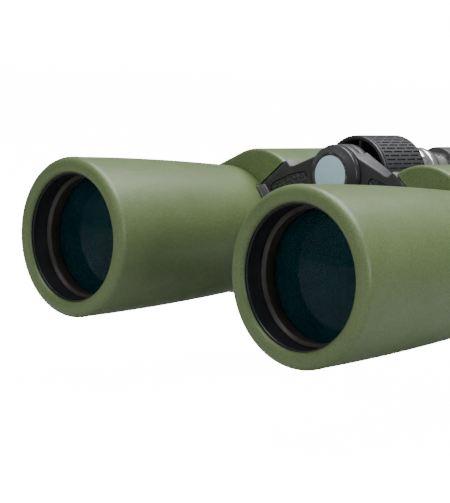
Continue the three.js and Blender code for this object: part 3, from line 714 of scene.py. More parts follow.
TUBE_SEAT = 28.3
bore_profile = [
    (0, RIM_Y - 2), (BORE_RADIUS + 0.1, RIM_Y - 2), (BORE_RADIUS + 0.1, RIM_Y + 2),
    (TUBE_SEAT, RIM_Y + 2), (TUBE_SEAT, RIM_Y + RIM_LENGTH),
    *[(barrel_radius(y, SKIN), y) for y in barrel_stops[1:] if y < SHOULDER_Y],
    (barrel_radius(SHOULDER_Y + 3.4, SKIN), SHOULDER_Y + 3.4), (0, SHOULDER_Y + 3.4),
]
bore = turned("bore", bore_profile, OBJECTIVE, 96)
chamber = housing("chamber", SKIN, SHOULDER_Y + SKIN, HOUSING_BACK_Y + 2)
notch = outlined("notch", placed(arm_points, 0.45), SHOULDER_Y - 3, ARM_BACK_Y + 0.4)
SHOULDER_RADIUS = barrel_radius(SHOULDER_Y)
cut(notch, plain_disc("barrel_guard", SHOULDER_RADIUS, SHOULDER_Y - 5, ARM_BACK_Y + 4, OBJECTIVE, 128))
rear_notch = outlined("rear_notch", [(-1, 23), (31, 23), (31, 59), (-1, 59)], 37.4, HOUSING_BACK_Y + 2)
cut(armour, bore, chamber, notch, rear_notch)
print("armour cut:", len(armour.data.polygons), "faces")

# %% Finish the armour
finish_pair(armour, ARMOUR_RUBBER, HALVES, "armour", smooth=28)

# %% [markdown]
# ## Inside each barrel
# Looking into the rim you see, from the front: the bright edge of the black tube, its dark wall, a grey
# screwed ring that holds the lens, the lens, and behind it fine ribs that stop stray light. The tube is one
# turned section, with the ribs drawn as small teeth along its inner line.

# %% Objective tube
tube_front = low_high("left_objective_tube")[0].y
tube_rear = low_high("left_objective_tube")[1].y
lens_low, lens_high = low_high("left_crown_lens")
flint_high = low_high("left_flint_lens")[1]
LENS_RADIUS = (lens_high.x - lens_low.x) / 2
retainer_rear = low_high("left_lens_retainer")[1].y
retainer_front = RIM_Y + 9.6
rib_start, rib_pitch, rib_count, rib_height = flint_high.y + 4.6, 0.8, 16, 0.55
stop_height = 2.2
TUBE_END_RADIUS = 21.0


def tube_inside(y):
    """The tube's bore narrows from the lens to the prism housing."""
    share = (y - flint_high.y) / (tube_rear - flint_high.y)
    return (LENS_RADIUS - 1.4) * (1 - share) + TUBE_END_RADIUS * share


ribs = []
for i in range(rib_count):
    y = rib_start + i * rib_pitch
    top = tube_inside(y) - rib_height
    ribs += [(tube_inside(y), y), (top, y + 0.3), (top, y + 0.42)]
stops = []
for y in (rib_start + 18, rib_start + 34, rib_start + 50):
    foot, top = tube_inside(y), tube_inside(y) - stop_height
    stops += [(foot, y), (top, y + 0.1), (top, y + 0.6), (foot, y + 0.7)]
tube = turned("left_tube", [
    (26.1, tube_front + 0.3), (26.3, tube_front), (27.85, tube_front), (28, tube_front + 0.2),
    (28, tube_front + 2.9), (barrel_radius(RIM_Y + 8, SKIN + GAP), tube_front + 2.9),
    *[(barrel_radius(y, SKIN + GAP), y) for y in barrel_stops[1:] if y < tube_rear - 2],
    (barrel_radius(tube_rear, SKIN + GAP), tube_rear), (TUBE_END_RADIUS, tube_rear),
    *reversed(stops), *reversed(ribs),
    (LENS_RADIUS - 2.1, flint_high.y + 3.8), (LENS_RADIUS - 2.1, flint_high.y + GAP),
    (LENS_RADIUS + 0.25, flint_high.y + GAP), (LENS_RADIUS + 0.25, retainer_front - 0.2),
    (26.25, retainer_front - 0.5), (26.4, tube_front + 1.0), (26.1, tube_front + 0.8),
    (26.1, tube_front + 0.3)], OBJECTIVE)
finish_pair(tube, DARK_TUBE, HALVES, "objective_tube")

# %% Lens ring
r = LENS_RADIUS
retainer = turned("left_retainer", [
    (r - 0.05, retainer_front), (r, retainer_front + 0.2), (r, retainer_rear), (r - 1.0, retainer_rear),
    (r - 1.15, retainer_rear - 0.2), (r - 1.35, retainer_front + 1.6), (r - 1.3, retainer_front + 1.3),
    (r - 1.0, retainer_front + 1.0), (r - 0.35, retainer_front), (r - 0.05, retainer_front)], OBJECTIVE)
finish_pair(retainer, GREY_RETAINER, HALVES, "lens_retainer")

# %% [markdown]
# A lens is two shallow domes on one edge. Each is drawn as a curve from the axis out to the edge, so the
# glass keeps its real thickness and bends reflections as a polished surface does.

# %% Lenses
def lens(name, radius, front, rear, front_sag, rear_sag, centre):
    """A lens from its edge's front and rear, and how far rearwards each face's middle stands off its edge."""
    steps, bevel = 10, 0.25
    radii = [radius * i / steps for i in range(steps)]
    shares = [1 - (r / radius) ** 2 for r in radii]
    outward = [(r, front + front_sag * share) for r, share in zip(radii, shares)]
    inward = [(r, rear + rear_sag * share) for r, share in zip(radii, shares)]
    edge = [(radius - bevel, front), (radius, front + bevel), (radius, rear - bevel), (radius - bevel, rear)]
    return turned(name, outward + edge + inward[::-1], centre, 80)


crown_edge = lens_high.y - 2.6
crown = lens("left_front_lens", LENS_RADIUS, lens_low.y + 3.4, crown_edge, -3.4, 2.6, OBJECTIVE)
finish_pair(crown, FRONT_GLASS, HALVES, "crown_lens")
flint = lens("left_second_lens", LENS_RADIUS, crown_edge + GAP, flint_high.y, 2.6, -0.8, OBJECTIVE)
finish_pair(flint, INNER_GLASS, HALVES, "flint_lens")

# %% [markdown]
# ## The black frame
# Under each armour is a black moulded box for the prisms, and from it two arms reach to the hinge. The
# front arm is a thick plate that ends in a round knuckle, with a raised collar where it meets the barrel, a
# top that slopes up to the rear, and a grained panel let into its face. The rear arm cradles a bright bush.
# The knuckles lie one behind the other, so the two frames differ there. Cutting works best on a piece that
# hasn't been mirrored, so both frames are made as left ones, and the right one is mirrored last.

# %% Front arm
arm = outlined("left_frame", placed(arm_points), SHOULDER_Y, ARM_BACK_Y)
top_at_the_back = [(2, 11.9), (7.1, 11.2), (10.4, 9.5), (24, 2.2), (26.4, 1.7)]
for (x, z), (back_x, back_z) in zip(arm_points[1:6], top_at_the_back):
    here = Vector((HINGE[0] + x, ARM_BACK_Y, HINGE[1] + z))
    pick(arm, "vertices", lambda v: (v.co / MM - here).length < 0.05)
    bpy.ops.transform.translate(value=((back_x - x) * MM, 0, (back_z - z) * MM))
    done_editing()
top_line = placed(arm_points[1:9])


def on_top(a, b):
    """True for the arm's upper front edges."""
    on_line = [any(abs(end.x - x) < 0.1 and abs(end.z - z) < 0.1 for x, z in top_line) for end in (a, b)]
    return at_y(SHOULDER_Y)(a, b) and all(on_line)


soften_edges(arm, 0.8, on_top, 3)
collar_front = SHOULDER_Y - 4.4
r = SHOULDER_RADIUS
arm_collar = turned("collar", [
    (r + 0.15, collar_front + 0.3), (r + 0.45, collar_front), (r + 1.2, collar_front),
    (r + 1.6, collar_front + 0.4), (r + 1.9, SHOULDER_Y - 0.7), (r + 2.6, SHOULDER_Y + 0.4),
    (r + 0.15, SHOULDER_Y + 0.4), (r + 0.15, collar_front + 0.3)], OBJECTIVE, 128)
zone_points = [(42.1, -7.6), (44.5, -11), (60, -29), (41, -44.6), (29, -36), (12, -16), (38, -7)]
collar_zone = outlined("zone", placed(zone_points), collar_front - 2, SHOULDER_Y + 2)
combine(arm_collar, collar_zone, "INTERSECT")
cut(arm, plain_disc("clear", r + 0.15, SHOULDER_Y - 9, ARM_BACK_Y + 9, OBJECTIVE, 128))
join(arm, arm_collar)
print("front arm:", len(arm.data.polygons), "faces")

# %% Panel pocket and panel
panel_points = [
    (17, -1.5), (18.6, 0.3), (27.5, -2.2), (36.5, -6.2), (38.3, -8.6), (31, -20.5), (28.5, -23.2), (24, -23),
    (17, -14.5),
]


def rounded(points, reach, count=4):
    """An outline with each corner turned into a short curve."""
    out = []
    for i, point in enumerate(points):
        here = Vector(point)
        before = (Vector(points[i - 1]) - here).normalized() * reach + here
        after = (Vector(points[(i + 1) % len(points)]) - here).normalized() * reach + here
        for s in range(count + 1):
            t = s / count
            curve = before * (1 - t) ** 2 + here * 2 * t * (1 - t) + after * t * t
            out.append((curve.x, curve.y))
    return out


panel_middle = (26, -11)
panel_face, panel_back = SHOULDER_Y + 0.15, SHOULDER_Y + 1
panel_outline = rounded(panel_points, 0.9)
cut(arm, outlined("pocket", placed(panel_outline, 0.25, panel_middle), SHOULDER_Y - 1, panel_back + 0.1))
panel = outlined("left_grained_panel", placed(panel_outline, -0.05, panel_middle), panel_face, panel_back)
soften_edges(panel, 0.25, at_y(panel_face), 2)
finish_pair(panel, PANEL_GRAIN_AND_PAINTED_LIGHT, HALVES, "arm_panel")

# %% Prism box, knuckle and rear arm
KNUCKLE_RADIUS = 13.2
AXLE_ROOM = 5.3  # the radius of the hole that every piece on the axle has
CASING_INSET, CASING_WALL = SKIN + GAP, 2.5
box_front = SHOULDER_Y + CASING_INSET
casing_rear = low_high("left_prism_housing")[1].y
casing = housing("casing", CASING_INSET, box_front, casing_rear, 64)
hollow = housing("hollow", CASING_INSET + CASING_WALL, box_front + CASING_WALL, casing_rear + 2, 64)
light_way = plain_disc("light_way", 22.2, 0, 8, OBJECTIVE, 48)


def frame_half(name, side, plate):
    """Adds the knuckle, the room for the other knuckle and the rear arm. Both sides are made as left ones."""
    middle = (SHOULDER_Y + ARM_BACK_Y) / 2
    if side == "left":
        front, rear = SHOULDER_Y, middle - GAP / 2
        room = (rear, ARM_BACK_Y + 3)
    else:
        front, rear = middle + GAP / 2, ARM_BACK_Y
        room = (SHOULDER_Y - 3, front)
    cut(plate, plain_disc("middle", KNUCKLE_RADIUS - 1.5, SHOULDER_Y - 3, ARM_BACK_Y + 3, HINGE, 90))
    cut(plate, plain_disc("room", KNUCKLE_RADIUS + 0.37, *room, HINGE, 84))
    join(plate, ring("knuckle", AXLE_ROOM, KNUCKLE_RADIUS, front + 0.04, rear - 0.04, HINGE, 0.33, 100))
    bush_low, bush_high = low_high(f"{side}_hinge_bush")
    reach = [(1, -12.5), (5, -16.2), (12, -17), (24, -15.5), (24, -6.5), (13.5, 6), (11, 8.5)]
    cradle = outlined("cradle", [(HINGE[0] + x, HINGE[1] + z) for x, z in reach], bush_low.y, bush_high.y)
    cut(cradle, plain_disc("bush_room", 12.95, bush_low.y - 2, bush_high.y + 2, HINGE, 90))
    join(plate, cradle)
    plate.name = plate.data.name = name
    return plate


cut(casing, hollow, light_way)
join(arm, casing)
arm_copy = arm.copy()
arm_copy.data = arm.data.copy()
bpy.context.collection.objects.link(arm_copy)
left_frame = frame_half("left_frame", "left", arm)
unturned = frame_half("unturned_frame", "right", arm_copy)
right_frame = other_side(unturned, "right_frame")
bpy.data.objects.remove(unturned)
for side, piece in (("left", left_frame), ("right", right_frame)):
    finish_piece(piece, BLACK_PLASTIC, f"{side}_half", f"{side}_prism_housing", 28)

# %% [markdown]
# ## The hinge
# A cap closes the front of the hollow axle, with a plain pale inlay in its face. Behind the focus wheel
# each rear arm holds a polished bush, and a collar and a black seal follow. They are all turned parts, so
# the section's small rounded corners are what catches the light.

# %% Cap and inlay
cap_low, cap_high = low_high("hinge_cap")
face = cap_low.y
cap = turned("front_cap", [
    (0, face + 1.0), (8.6, face + 1.0), (8.75, face + 0.85), (8.75, face + 0.15), (8.9, face), (9.7, face),
    (9.95, face + 0.12), (10.2, face + 0.4), (12.3, face + 1.9), (12.75, face + 2.25), (12.85, face + 2.5),
    (12.6, face + 2.75), (12.75, face + 3.0), (13.1, face + 3.25), (13.1, SHOULDER_Y - 0.75),
    (12.9, SHOULDER_Y - 0.35), (3.5, SHOULDER_Y - 0.3), (3.5, cap_high.y), (0, cap_high.y)], HINGE, 128)
finish_piece(cap, SATIN_BLACK, "left_half", "hinge_cap")
low, high = low_high("cap_inlay")
inlay = turned("cap_disc", [
    (0, low.y + 0.25), (7.9, low.y + 0.28), (8.4, low.y + 0.4), (8.55, low.y + 0.6), (8.55, high.y),
    (0, high.y)], HINGE, 96)
finish_piece(inlay, BLUE_INLAY, "left_half", "cap_inlay")

# %% Axle, washer, bushes, collar and seal
def turned_like(node, material, inner, soft=0.3):
    """A softened ring in the place of a ring-shaped CAD node on the hinge."""
    low, high = low_high(node)
    piece = ring(node + "_turned", inner, (high.x - low.x) / 2, low.y, high.y, axis_of(node), soft)
    finish_piece(piece, material, "left_half", node)


SLEEVE_ROOM = 9.5  # the collar and the seal leave room for the focus spindle's sleeve
turned_like("hinge_axle", STEEL, 3.8)
turned_like("front_washer", STEEL, AXLE_ROOM)
for side in ("left", "right"):
    low, high = low_high(f"{side}_hinge_bush")
    r = (high.x - low.x) / 2
    bush = turned(f"{side}_bush", [
        (AXLE_ROOM, low.y), (r - 0.6, low.y), (r - 0.15, low.y + 0.2), (r, low.y + 0.6),
        (r - 0.1, low.y + 2.2), (r - 0.5, low.y + 2.45), (r - 0.5, low.y + 2.75), (r - 0.15, low.y + 3.0),
        (r - 0.3, high.y - 0.5), (r - 0.75, high.y), (AXLE_ROOM, high.y), (AXLE_ROOM, low.y)], HINGE)
    finish_piece(bush, CHROME, f"{side}_half", f"{side}_hinge_bush")
turned_like("hinge_collar", CHROME, SLEEVE_ROOM, 0.5)
turned_like("collar_seal", CUP_RUBBER, SLEEVE_ROOM, 0.4)

# %% [markdown]
# ## The focus wheel
# The wheel is a black drum, open at the front, with four thin spokes that carry it on a hub. Its tyre is
# rubber: rows of slots run along it, staggered from row to row. The tyre is spun with a fine grid of faces,
# and the faces where slots belong are pushed inwards.

# %% Wheel core
wheel_low, wheel_high = low_high("focus_wheel")
wheel_front, wheel_rear = wheel_low.y, wheel_high.y
LIP_IN, LIP_OUT = 15.3, 16.95  # the drum's front lip
WEB_THICKNESS = 4.5
DRUM_IN, DRUM_OUT, HUB = LIP_IN - 0.5, 15.85, 8
web_front = wheel_rear - WEB_THICKNESS
core = turned("wheel_drum", [
    (DRUM_IN, wheel_front + 1.5), (LIP_IN - 0.1, wheel_front + 0.55), (LIP_IN + 0.25, wheel_front + 0.15),
    (LIP_IN + 0.6, wheel_front), (LIP_OUT - 0.5, wheel_front), (LIP_OUT - 0.12, wheel_front + 0.15),
    (LIP_OUT, wheel_front + 0.5), (LIP_OUT, wheel_front + 1.1), (LIP_OUT - 0.15, wheel_front + 1.3),
    (DRUM_OUT, wheel_front + 1.3), (DRUM_OUT, wheel_rear - 0.5), (15.6, wheel_rear - 0.2), (15.2, wheel_rear),
    (HUB, wheel_rear), (AXLE_ROOM, wheel_rear), (AXLE_ROOM, wheel_front + 1), (HUB - 0.4, wheel_front + 1),
    (HUB, wheel_front + 1.4), (HUB, web_front), (DRUM_IN, web_front), (DRUM_IN, wheel_front + 1.5)],
    HINGE, 128)
SPOKES = 4
spoke_start, spoke_end, spoke_front = HUB - 0.6, LIP_IN - 0.2, wheel_front + 2.2
spoke_outline = [(spoke_start, -0.85), (spoke_end, -0.65), (spoke_end, 0.65), (spoke_start, 0.85)]
for i in range(SPOKES):
    spoke = outlined("spoke", spoke_outline, spoke_front, wheel_rear - 4)
    soften_edges(spoke, 0.25, at_y(spoke_front), 2)
    pick(spoke, "vertices", lambda v: True)
    bpy.ops.transform.rotate(value=-2 * math.pi / SPOKES * i, orient_axis="Y", center_override=(0, 0, 0))
    bpy.ops.transform.translate(value=(HINGE[0] * MM, 0, HINGE[1] * MM))
    done_editing()
    join(core, spoke)
finish_piece(core, BLACK_PLASTIC, "wheel", "focus_wheel")

# %% Ribbed tyre
grip_low, grip_high = low_high("focus_wheel_grip")
GRIP_RADIUS = (grip_high.x - grip_low.x) / 2
GRIP_INSIDE = 15.9
ROWS, COLUMNS_PER_ROW = 56, 3
SLOT_LENGTH, SLOT_GAP, SLOT_DEPTH = 5.6, 1.15, 0.55
tread_front, tread_rear = grip_low.y + 0.6, grip_high.y - 0.6
first_slot = grip_low.y + 0.9


def slots_along(start, count):
    """The front and rear of each slot in one row."""
    fronts = [start + k * (SLOT_LENGTH + SLOT_GAP) for k in range(count)]
    return [(front, front + SLOT_LENGTH) for front in fronts]


even_slots = slots_along(first_slot, 4)
odd_slots = slots_along(first_slot - (SLOT_LENGTH + SLOT_GAP) / 2, 5)
slot_ends = {round(y, 3) for slot in even_slots + odd_slots for y in slot}
tread_lines = sorted({y for y in slot_ends if tread_front < y < tread_rear} | {tread_front, tread_rear})
tyre = turned("wheel_tyre", [
    (GRIP_INSIDE, grip_low.y), (GRIP_RADIUS - 0.45, grip_low.y), (GRIP_RADIUS - 0.1, grip_low.y + 0.2),
    *[(GRIP_RADIUS, y) for y in tread_lines],
    (GRIP_RADIUS - 0.1, grip_high.y - 0.2), (GRIP_RADIUS - 0.45, grip_high.y), (GRIP_INSIDE, grip_high.y),
    (GRIP_INSIDE, grip_low.y)], HINGE, ROWS * COLUMNS_PER_ROW)


def column_of(x, z, centre, columns):
    """Which of a turned piece's columns of faces a place is in, counted round its axis."""
    return math.floor(math.atan2(z - centre[1], x - centre[0]) / (2 * math.pi) * columns)


def in_slot(face):
    """True for a face of the tread in a slot: in the first column of its row, between a slot's ends."""
    x, y, z = face.center / MM
    if math.hypot(x - HINGE[0], z - HINGE[1]) < GRIP_RADIUS - 0.05 or not tread_front < y < tread_rear:
        return False
    row, column = divmod(column_of(x, z, HINGE, ROWS * COLUMNS_PER_ROW), COLUMNS_PER_ROW)
    slots = odd_slots if row % 2 else even_slots
    return column == 0 and any(front < y < rear for front, rear in slots)


slots_found = pick(tyre, "polygons", in_slot)
bpy.ops.mesh.extrude_region_shrink_fatten(TRANSFORM_OT_shrink_fatten={"value": -SLOT_DEPTH * MM})
done_editing()
finish_piece(tyre, GRIP_RUBBER, "wheel", "focus_wheel_grip", 22)
print("slot faces:", slots_found)

# %% [markdown]
# ## The focusing bridge
# Turning the wheel drives a screwed spindle out of the hinge. The spindle carries a bridge of two arms whose
# hubs lie one behind the other, so the arms can fold with the two halves, and a cap holds them on. Each arm's
# ring grips one eyepiece.

# %% Spindle and bridge cap
low, high = low_high("focus_spindle")
SLEEVE_FRONT, SLEEVE_REAR, SLEEVE_RADIUS = 51.55, 66.55, 9.2
SCREW_RADIUS, TAIL_RADIUS = 3.4, 4
spindle = turned("focus_screw", [
    (0, low.y), (SCREW_RADIUS - 0.3, low.y), (SCREW_RADIUS, low.y + 0.3), (SCREW_RADIUS, SLEEVE_FRONT),
    (SLEEVE_RADIUS - 0.4, SLEEVE_FRONT), (SLEEVE_RADIUS, SLEEVE_FRONT + 0.4), (SLEEVE_RADIUS, 57.6),
    (SLEEVE_RADIUS - 0.2, 57.8), (SLEEVE_RADIUS - 0.2, 58.4), (SLEEVE_RADIUS, 58.6),
    (SLEEVE_RADIUS, SLEEVE_REAR - 0.6), (SLEEVE_RADIUS - 0.6, SLEEVE_REAR), (TAIL_RADIUS, SLEEVE_REAR),
    (TAIL_RADIUS, high.y), (0, high.y)], HINGE)
finish_piece(spindle, CHROME, "left_carriage", "focus_spindle")
low, high = low_high("bridge_cap")
bridge_cap = turned("rear_cap", [
    (0, low.y), (10.6, low.y), (11, low.y + 0.4), (11, low.y + 1.4), (10.7, low.y + 1.9),
    (9.6, high.y - 0.15), (9.2, high.y - 0.3), (8.9, high.y - 0.3), (8.5, high.y - 0.1), (5, high.y),
    (0, high.y)], HINGE)
finish_piece(bridge_cap, BLACK_PLASTIC, "left_carriage", "bridge_cap")

# %% Bridge arms
HUB_RADIUS = 11.8
ARM_FRONT, ARM_REAR = 69.15, 77.15
GRIP_BORE, GRIP_OUTSIDE = 16.3, 19
IN_FRONT, BEHIND = 50, 95  # clear of the bridge on either side
bar_front, bar_rear = ARM_FRONT + 0.8, ARM_REAR - 0.8
bar = wrapped("left_bridge", [(HINGE, 7), (EYEPIECE, 10)], bar_front, bar_rear)
soften_edges(bar, 1.1, at_y(bar_front), 4)
soften_edges(bar, 1.1, at_y(bar_rear), 4)
dimple_ends = [((HINGE[0] + x, HINGE[1] + z), 2.4) for x, z in ((13.5, -8.8), (14.8, -9.7))]
cut(bar, wrapped("dimple", dimple_ends, ARM_REAR - 1.6, ARM_REAR + 1))
cut(bar, plain_disc("bore", GRIP_BORE + GAP, ARM_FRONT - 1, ARM_REAR + 1, EYEPIECE))
join(bar, ring("grip_ring", GRIP_BORE, GRIP_OUTSIDE, ARM_FRONT, ARM_REAR, EYEPIECE, 0.5, 128))
right_bar = other_side(bar, "right_bridge")
hub_places = {"left": (66.85, 72.45), "right": (72.75, 78.35)}
for piece, side in ((bar, "left"), (right_bar, "right")):
    hub_front, hub_rear = hub_places[side]
    room = (hub_rear, BEHIND) if side == "left" else (IN_FRONT, hub_front)
    cut(piece, plain_disc("room", HUB_RADIUS + GAP, *room, HINGE))
    join(piece, turned("hub", [
        (0, hub_front), (HUB_RADIUS - 0.4, hub_front), (HUB_RADIUS, hub_front + 0.4),
        (HUB_RADIUS, hub_rear - 0.4), (HUB_RADIUS - 0.4, hub_rear), (0, hub_rear)], HINGE))
    cut(piece, plain_disc("hole", TAIL_RADIUS + GAP, IN_FRONT, BEHIND, HINGE))
    finish_piece(piece, BLACK_PLASTIC, f"{side}_carriage", f"{side}_bridge_arm", 28)

# %% [markdown]
# ## The rear of each half
# A moulded cover closes the prism box. It carries a raised boss and a thin guide tube in which the eyepiece
# slides, and two screws hold it in recesses. Its rear edge is softened, because a hand holds it there.

# %% Rear covers
COVER_FRONT, COVER_REAR = 50.45, 53.85
GUIDE, GUIDE_REAR = 15.5, 67.85
RAISED_REAR = COVER_REAR + 0.35
cover = housing("left_cover", 0.4, COVER_FRONT, COVER_REAR)
soften_edges(cover, 1.3, at_y(COVER_REAR), 5)
raised = housing("raised", 5.2, COVER_REAR - 1, RAISED_REAR)
soften_edges(raised, 0.3, at_y(RAISED_REAR), 2)
join(cover, raised)
boss = turned("boss", [
    (0, COVER_REAR - 1.5), (GUIDE + 2.9, COVER_REAR - 1.5), (GUIDE + 2.6, COVER_REAR),
    (GUIDE + 2.1, COVER_REAR + 0.6), (GUIDE + 1.8, COVER_REAR + 1.4), (GUIDE + 0.5, COVER_REAR + 1.5),
    (GUIDE + 0.15, COVER_REAR + 1.8), (GUIDE, COVER_REAR + 2.4), (GUIDE, GUIDE_REAR - 0.35),
    (GUIDE - 0.35, GUIDE_REAR), (0, GUIDE_REAR)], EYEPIECE, 128)
join(cover, boss)
cut(cover, plain_disc("guide_bore", GUIDE - 1.6, COVER_FRONT - 2, GUIDE_REAR + 2.15, EYEPIECE, 128))
SCREW_HEAD = 2.3
screw_places = {"lower": (78.3, 25.4), "upper": (52.5, 63.4)}
for place in screw_places.values():
    cut(cover, plain_disc("recess", SCREW_HEAD + 0.35, COVER_REAR - 1.6, COVER_REAR + 2, place, 40))
finish_pair(cover, BLACK_PLASTIC, HALVES, "rear_cover", 28)

# %% Cover screws
for label, (x, z) in screw_places.items():
    low, high = low_high(f"left_{label}_screw")
    screw = turned(f"left_{label}_cover_screw", [
        (0, low.y), (SCREW_HEAD - 0.1, low.y), (SCREW_HEAD, low.y + 0.15), (SCREW_HEAD, high.y - 0.35),
        (SCREW_HEAD - 0.25, high.y - 0.12), (1.2, high.y), (0, high.y)], (x, z), 40)
    for wide, tall in ((0.32, 1.5), (1.5, 0.32)):
        corners = [(x - wide, z - tall), (x + wide, z - tall), (x + wide, z + tall), (x - wide, z + tall)]
        cut(screw, outlined("blade", corners, high.y - 0.62, high.y + 1))
    finish_pair(screw, STEEL, HALVES, f"{label}_screw")

# %% Strap lugs
low, high = low_high("left_strap_lug")
lug_points = [
    (low.x, low.y), (high.x - 1.6, low.y), (high.x, low.y + 2.4), (high.x, high.y - 2.4),
    (high.x - 1.6, high.y), (low.x, high.y)]
slot_in, slot_out, bar_width = low.x + 2.2, high.x - 3, 3
slot_points = [
    (slot_in, low.y + bar_width), (slot_out, low.y + bar_width), (slot_out, high.y - bar_width),
    (slot_in, high.y - bar_width)]
lug = outlined("left_lug", rounded(lug_points, 1.1), low.z, high.z, "Z")
cut(lug, outlined("slot", rounded(slot_points, 0.8), low.z - 2, high.z + 2, "Z"))
soften_all(lug, 0.4)
finish_pair(lug, BLACK_PLASTIC, HALVES, "strap_lug")

# %% [markdown]
# ## The eyepieces
# A black tube slides in each guide, driven by the bridge. Inside it a cell holds the field lens and the eye
# lens. On the user's right the cell is also screwed in and out by a ribbed ring, for eyes that differ.

# %% Tubes, cells and lenses
low, high = low_high("left_eyepiece_tube")
INSIDE, NECK, BODY = 12.1, 14, 16  # the tube's radii: bore, the neck that carries the cup, and the middle
eyepiece = turned("left_eyepiece", [
    (INSIDE, low.y + 0.2), (12.4, low.y), (13.3, low.y), (13.6, low.y + 0.3), (13.6, 68.6), (13.9, 69.25),
    (BODY - 0.4, 69.25), (BODY, 69.65), (BODY, 77.2), (BODY - 0.2, 77.3), (BODY - 0.2, 77.5), (BODY, 77.6),
    (BODY, 82.9), (BODY - 0.4, 83.35), (14.2, 83.5), (NECK, 83.8), (NECK, high.y - 0.4), (13.6, high.y),
    (12.4, high.y), (INSIDE, high.y - 0.3), (INSIDE, low.y + 0.2)], EYEPIECE)
finish_pair(eyepiece, BLACK_PLASTIC, CARRIAGES, "eyepiece_tube")
OCULARS = ("left_carriage", "right_ocular")
low, high = low_high("left_lens_cell")
SEAT, STEP = 10.5, 9.4  # the cell's bore where it holds a lens, and between the two lenses
grooves = []
for y in (78, 76.8, 75.6, 74.4, 73.2):
    grooves += [(STEP, y + 0.5), (STEP + 0.35, y + 0.2)]
lens_cell = turned("left_cell", [
    (SEAT, low.y + 0.2), (10.8, low.y), (11.5, low.y), (11.8, low.y + 0.3), (11.8, high.y - 0.35),
    (11.45, high.y), (11.1, high.y), (SEAT, high.y - 0.6), (SEAT, 80.4), (STEP, 80.2), *grooves, (STEP, 62.6),
    (SEAT, 62.4), (SEAT, low.y + 0.2)], EYEPIECE)
finish_pair(lens_cell, DARK_TUBE, OCULARS, "lens_cell")
low, high = low_high("left_field_lens")
GLASS_RADIUS = (high.x - low.x) / 2
FIELD_SAG, EYE_SAGS = 1.2, (1.3, 1.7)
field = lens("left_field_glass", GLASS_RADIUS, 58.05, 60.85, -FIELD_SAG, FIELD_SAG, EYEPIECE)
finish_pair(field, CLEAR_GLASS, OCULARS, "field_lens")
eye = lens("left_eye_glass", GLASS_RADIUS, 82.0, 85.4, -EYE_SAGS[0], EYE_SAGS[1], EYEPIECE)
finish_pair(eye, EYE_GLASS, OCULARS, "eye_lens")

# %% [markdown]
# The plain ring on the left and the ribbed ring on the right come from one section. Between two smooth bands,
# every other pair of strips is pushed in, which leaves the ribs standing. A plain pip marks the ring's top.

# %% Trim ring and diopter ring
RING_FRONT, RING_REAR, RING_RADIUS = 77.45, 83.05, 19.0
RIBS, STRIPS_PER_RIB = 60, 4
RIB_DEPTH = 0.4
BAND = 1.0
PLAIN_STRIPS = range(57, 63)  # round the pip, at the ring's top
RIGHT_EYEPIECE = (-EYEPIECE[0], EYEPIECE[1])


def eyepiece_ring(name, centre):
    inner, outer = GRIP_BORE, RING_RADIUS
    return turned(name, [
        (inner, RING_FRONT + 0.2), (inner + 0.2, RING_FRONT), (outer - 0.5, RING_FRONT),
        (outer - 0.12, RING_FRONT + 0.15), (outer, RING_FRONT + 0.5), (outer, RING_FRONT + BAND),
        (outer, RING_REAR - BAND), (outer, RING_REAR - 0.5), (outer - 0.15, RING_REAR - 0.12),
        (outer - 0.5, RING_REAR), (inner + 0.2, RING_REAR), (inner, RING_REAR - 0.2),
        (inner, RING_FRONT + 0.2)], centre, RIBS * STRIPS_PER_RIB)


trim = eyepiece_ring("left_trim", EYEPIECE)
finish_piece(trim, GRIP_RUBBER, "left_carriage", "left_trim_ring")
diopter = eyepiece_ring("diopter_grip", RIGHT_EYEPIECE)


def between_ribs(face):
    """True for the faces of the tread that are pushed in."""
    x, y, z = face.center / MM
    radius = math.hypot(x - RIGHT_EYEPIECE[0], z - RIGHT_EYEPIECE[1])
    strip = column_of(x, z, RIGHT_EYEPIECE, RIBS * STRIPS_PER_RIB)
    on_tread = radius > RING_RADIUS - 0.06 and RING_FRONT + BAND < y < RING_REAR - BAND
    return on_tread and strip % STRIPS_PER_RIB < STRIPS_PER_RIB / 2 and strip not in PLAIN_STRIPS


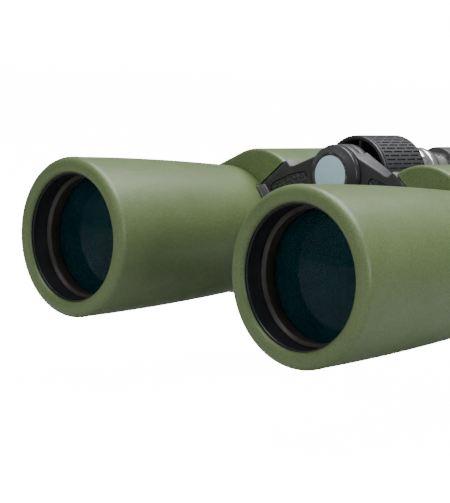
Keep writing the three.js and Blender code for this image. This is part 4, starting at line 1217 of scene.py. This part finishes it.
pick(diopter, "polygons", between_ribs)
bpy.ops.mesh.extrude_region_shrink_fatten(TRANSFORM_OT_shrink_fatten={"value": -RIB_DEPTH * MM})
done_editing()
top = RIGHT_EYEPIECE[1] + RING_RADIUS
pip_ends = [((RIGHT_EYEPIECE[0], top - sunk), 0.7) for sunk in (0.6, 0.4)]
join(diopter, wrapped("pip", pip_ends, RING_FRONT + 1.6, RING_REAR - 1.6, 24))
finish_piece(diopter, GRIP_RUBBER, "diopter", "diopter_ring", 24)

# %% Eyecups
CUPS = ("left_cup", "right_cup")
SLEEVES = ("left_cup_sleeve", "right_cup_sleeve")
low, high = low_high("left_eyecup_sleeve")
sleeve = ring("left_sleeve", 14.3, 15.3, low.y, high.y, EYEPIECE, 0.2)
finish_pair(sleeve, BLACK_PLASTIC, SLEEVES, "eyecup_sleeve")
low, high = low_high("left_eyecup")
CUP_RADIUS, CUP_INSIDE, CUP_SEAT = 19, 15.6, 93.45
groove_count, groove_pitch, groove_depth = 4, 1.5, 0.4
grooves = []
for k in range(groove_count):
    y = low.y + 2.0 + k * groove_pitch
    bottom = CUP_RADIUS - groove_depth
    grooves += [(CUP_RADIUS, y), (bottom, y + 0.2), (bottom, y + 0.55), (CUP_RADIUS, y + 0.75)]
cup = turned("left_rubber_cup", [
    (CUP_INSIDE, low.y + 0.2), (15.8, low.y), (18.5, low.y), (18.85, low.y + 0.15), (CUP_RADIUS, low.y + 0.5),
    *grooves, *arc((17.6, high.y - 1.5), 1.4, 0, 90, 5), *arc((14.1, high.y - 1.1), 1.1, 90, 180, 5),
    (13, CUP_SEAT + 0.3), (13.3, CUP_SEAT), (CUP_INSIDE, CUP_SEAT), (CUP_INSIDE, low.y + 0.2)], EYEPIECE, 128)
finish_pair(cup, CUP_RUBBER, CUPS, "eyecup")

# %% [markdown]
# ## What stays hidden
# The prisms and the shelves that part them keep their CAD shape, which is already right: flat polished faces
# and square steel. They only need glass and metal.

# %% Prisms and shelves
for side in ("left", "right"):
    for node, material in (("rear_prism", CLEAR_GLASS), ("front_prism", CLEAR_GLASS), ("prism_shelf", STEEL)):
        solid = frame["nodes"][f"{side}_{node}"]
        for place in solid.material_slots:
            place.material = material
        print(solid.name, "is", material.name)
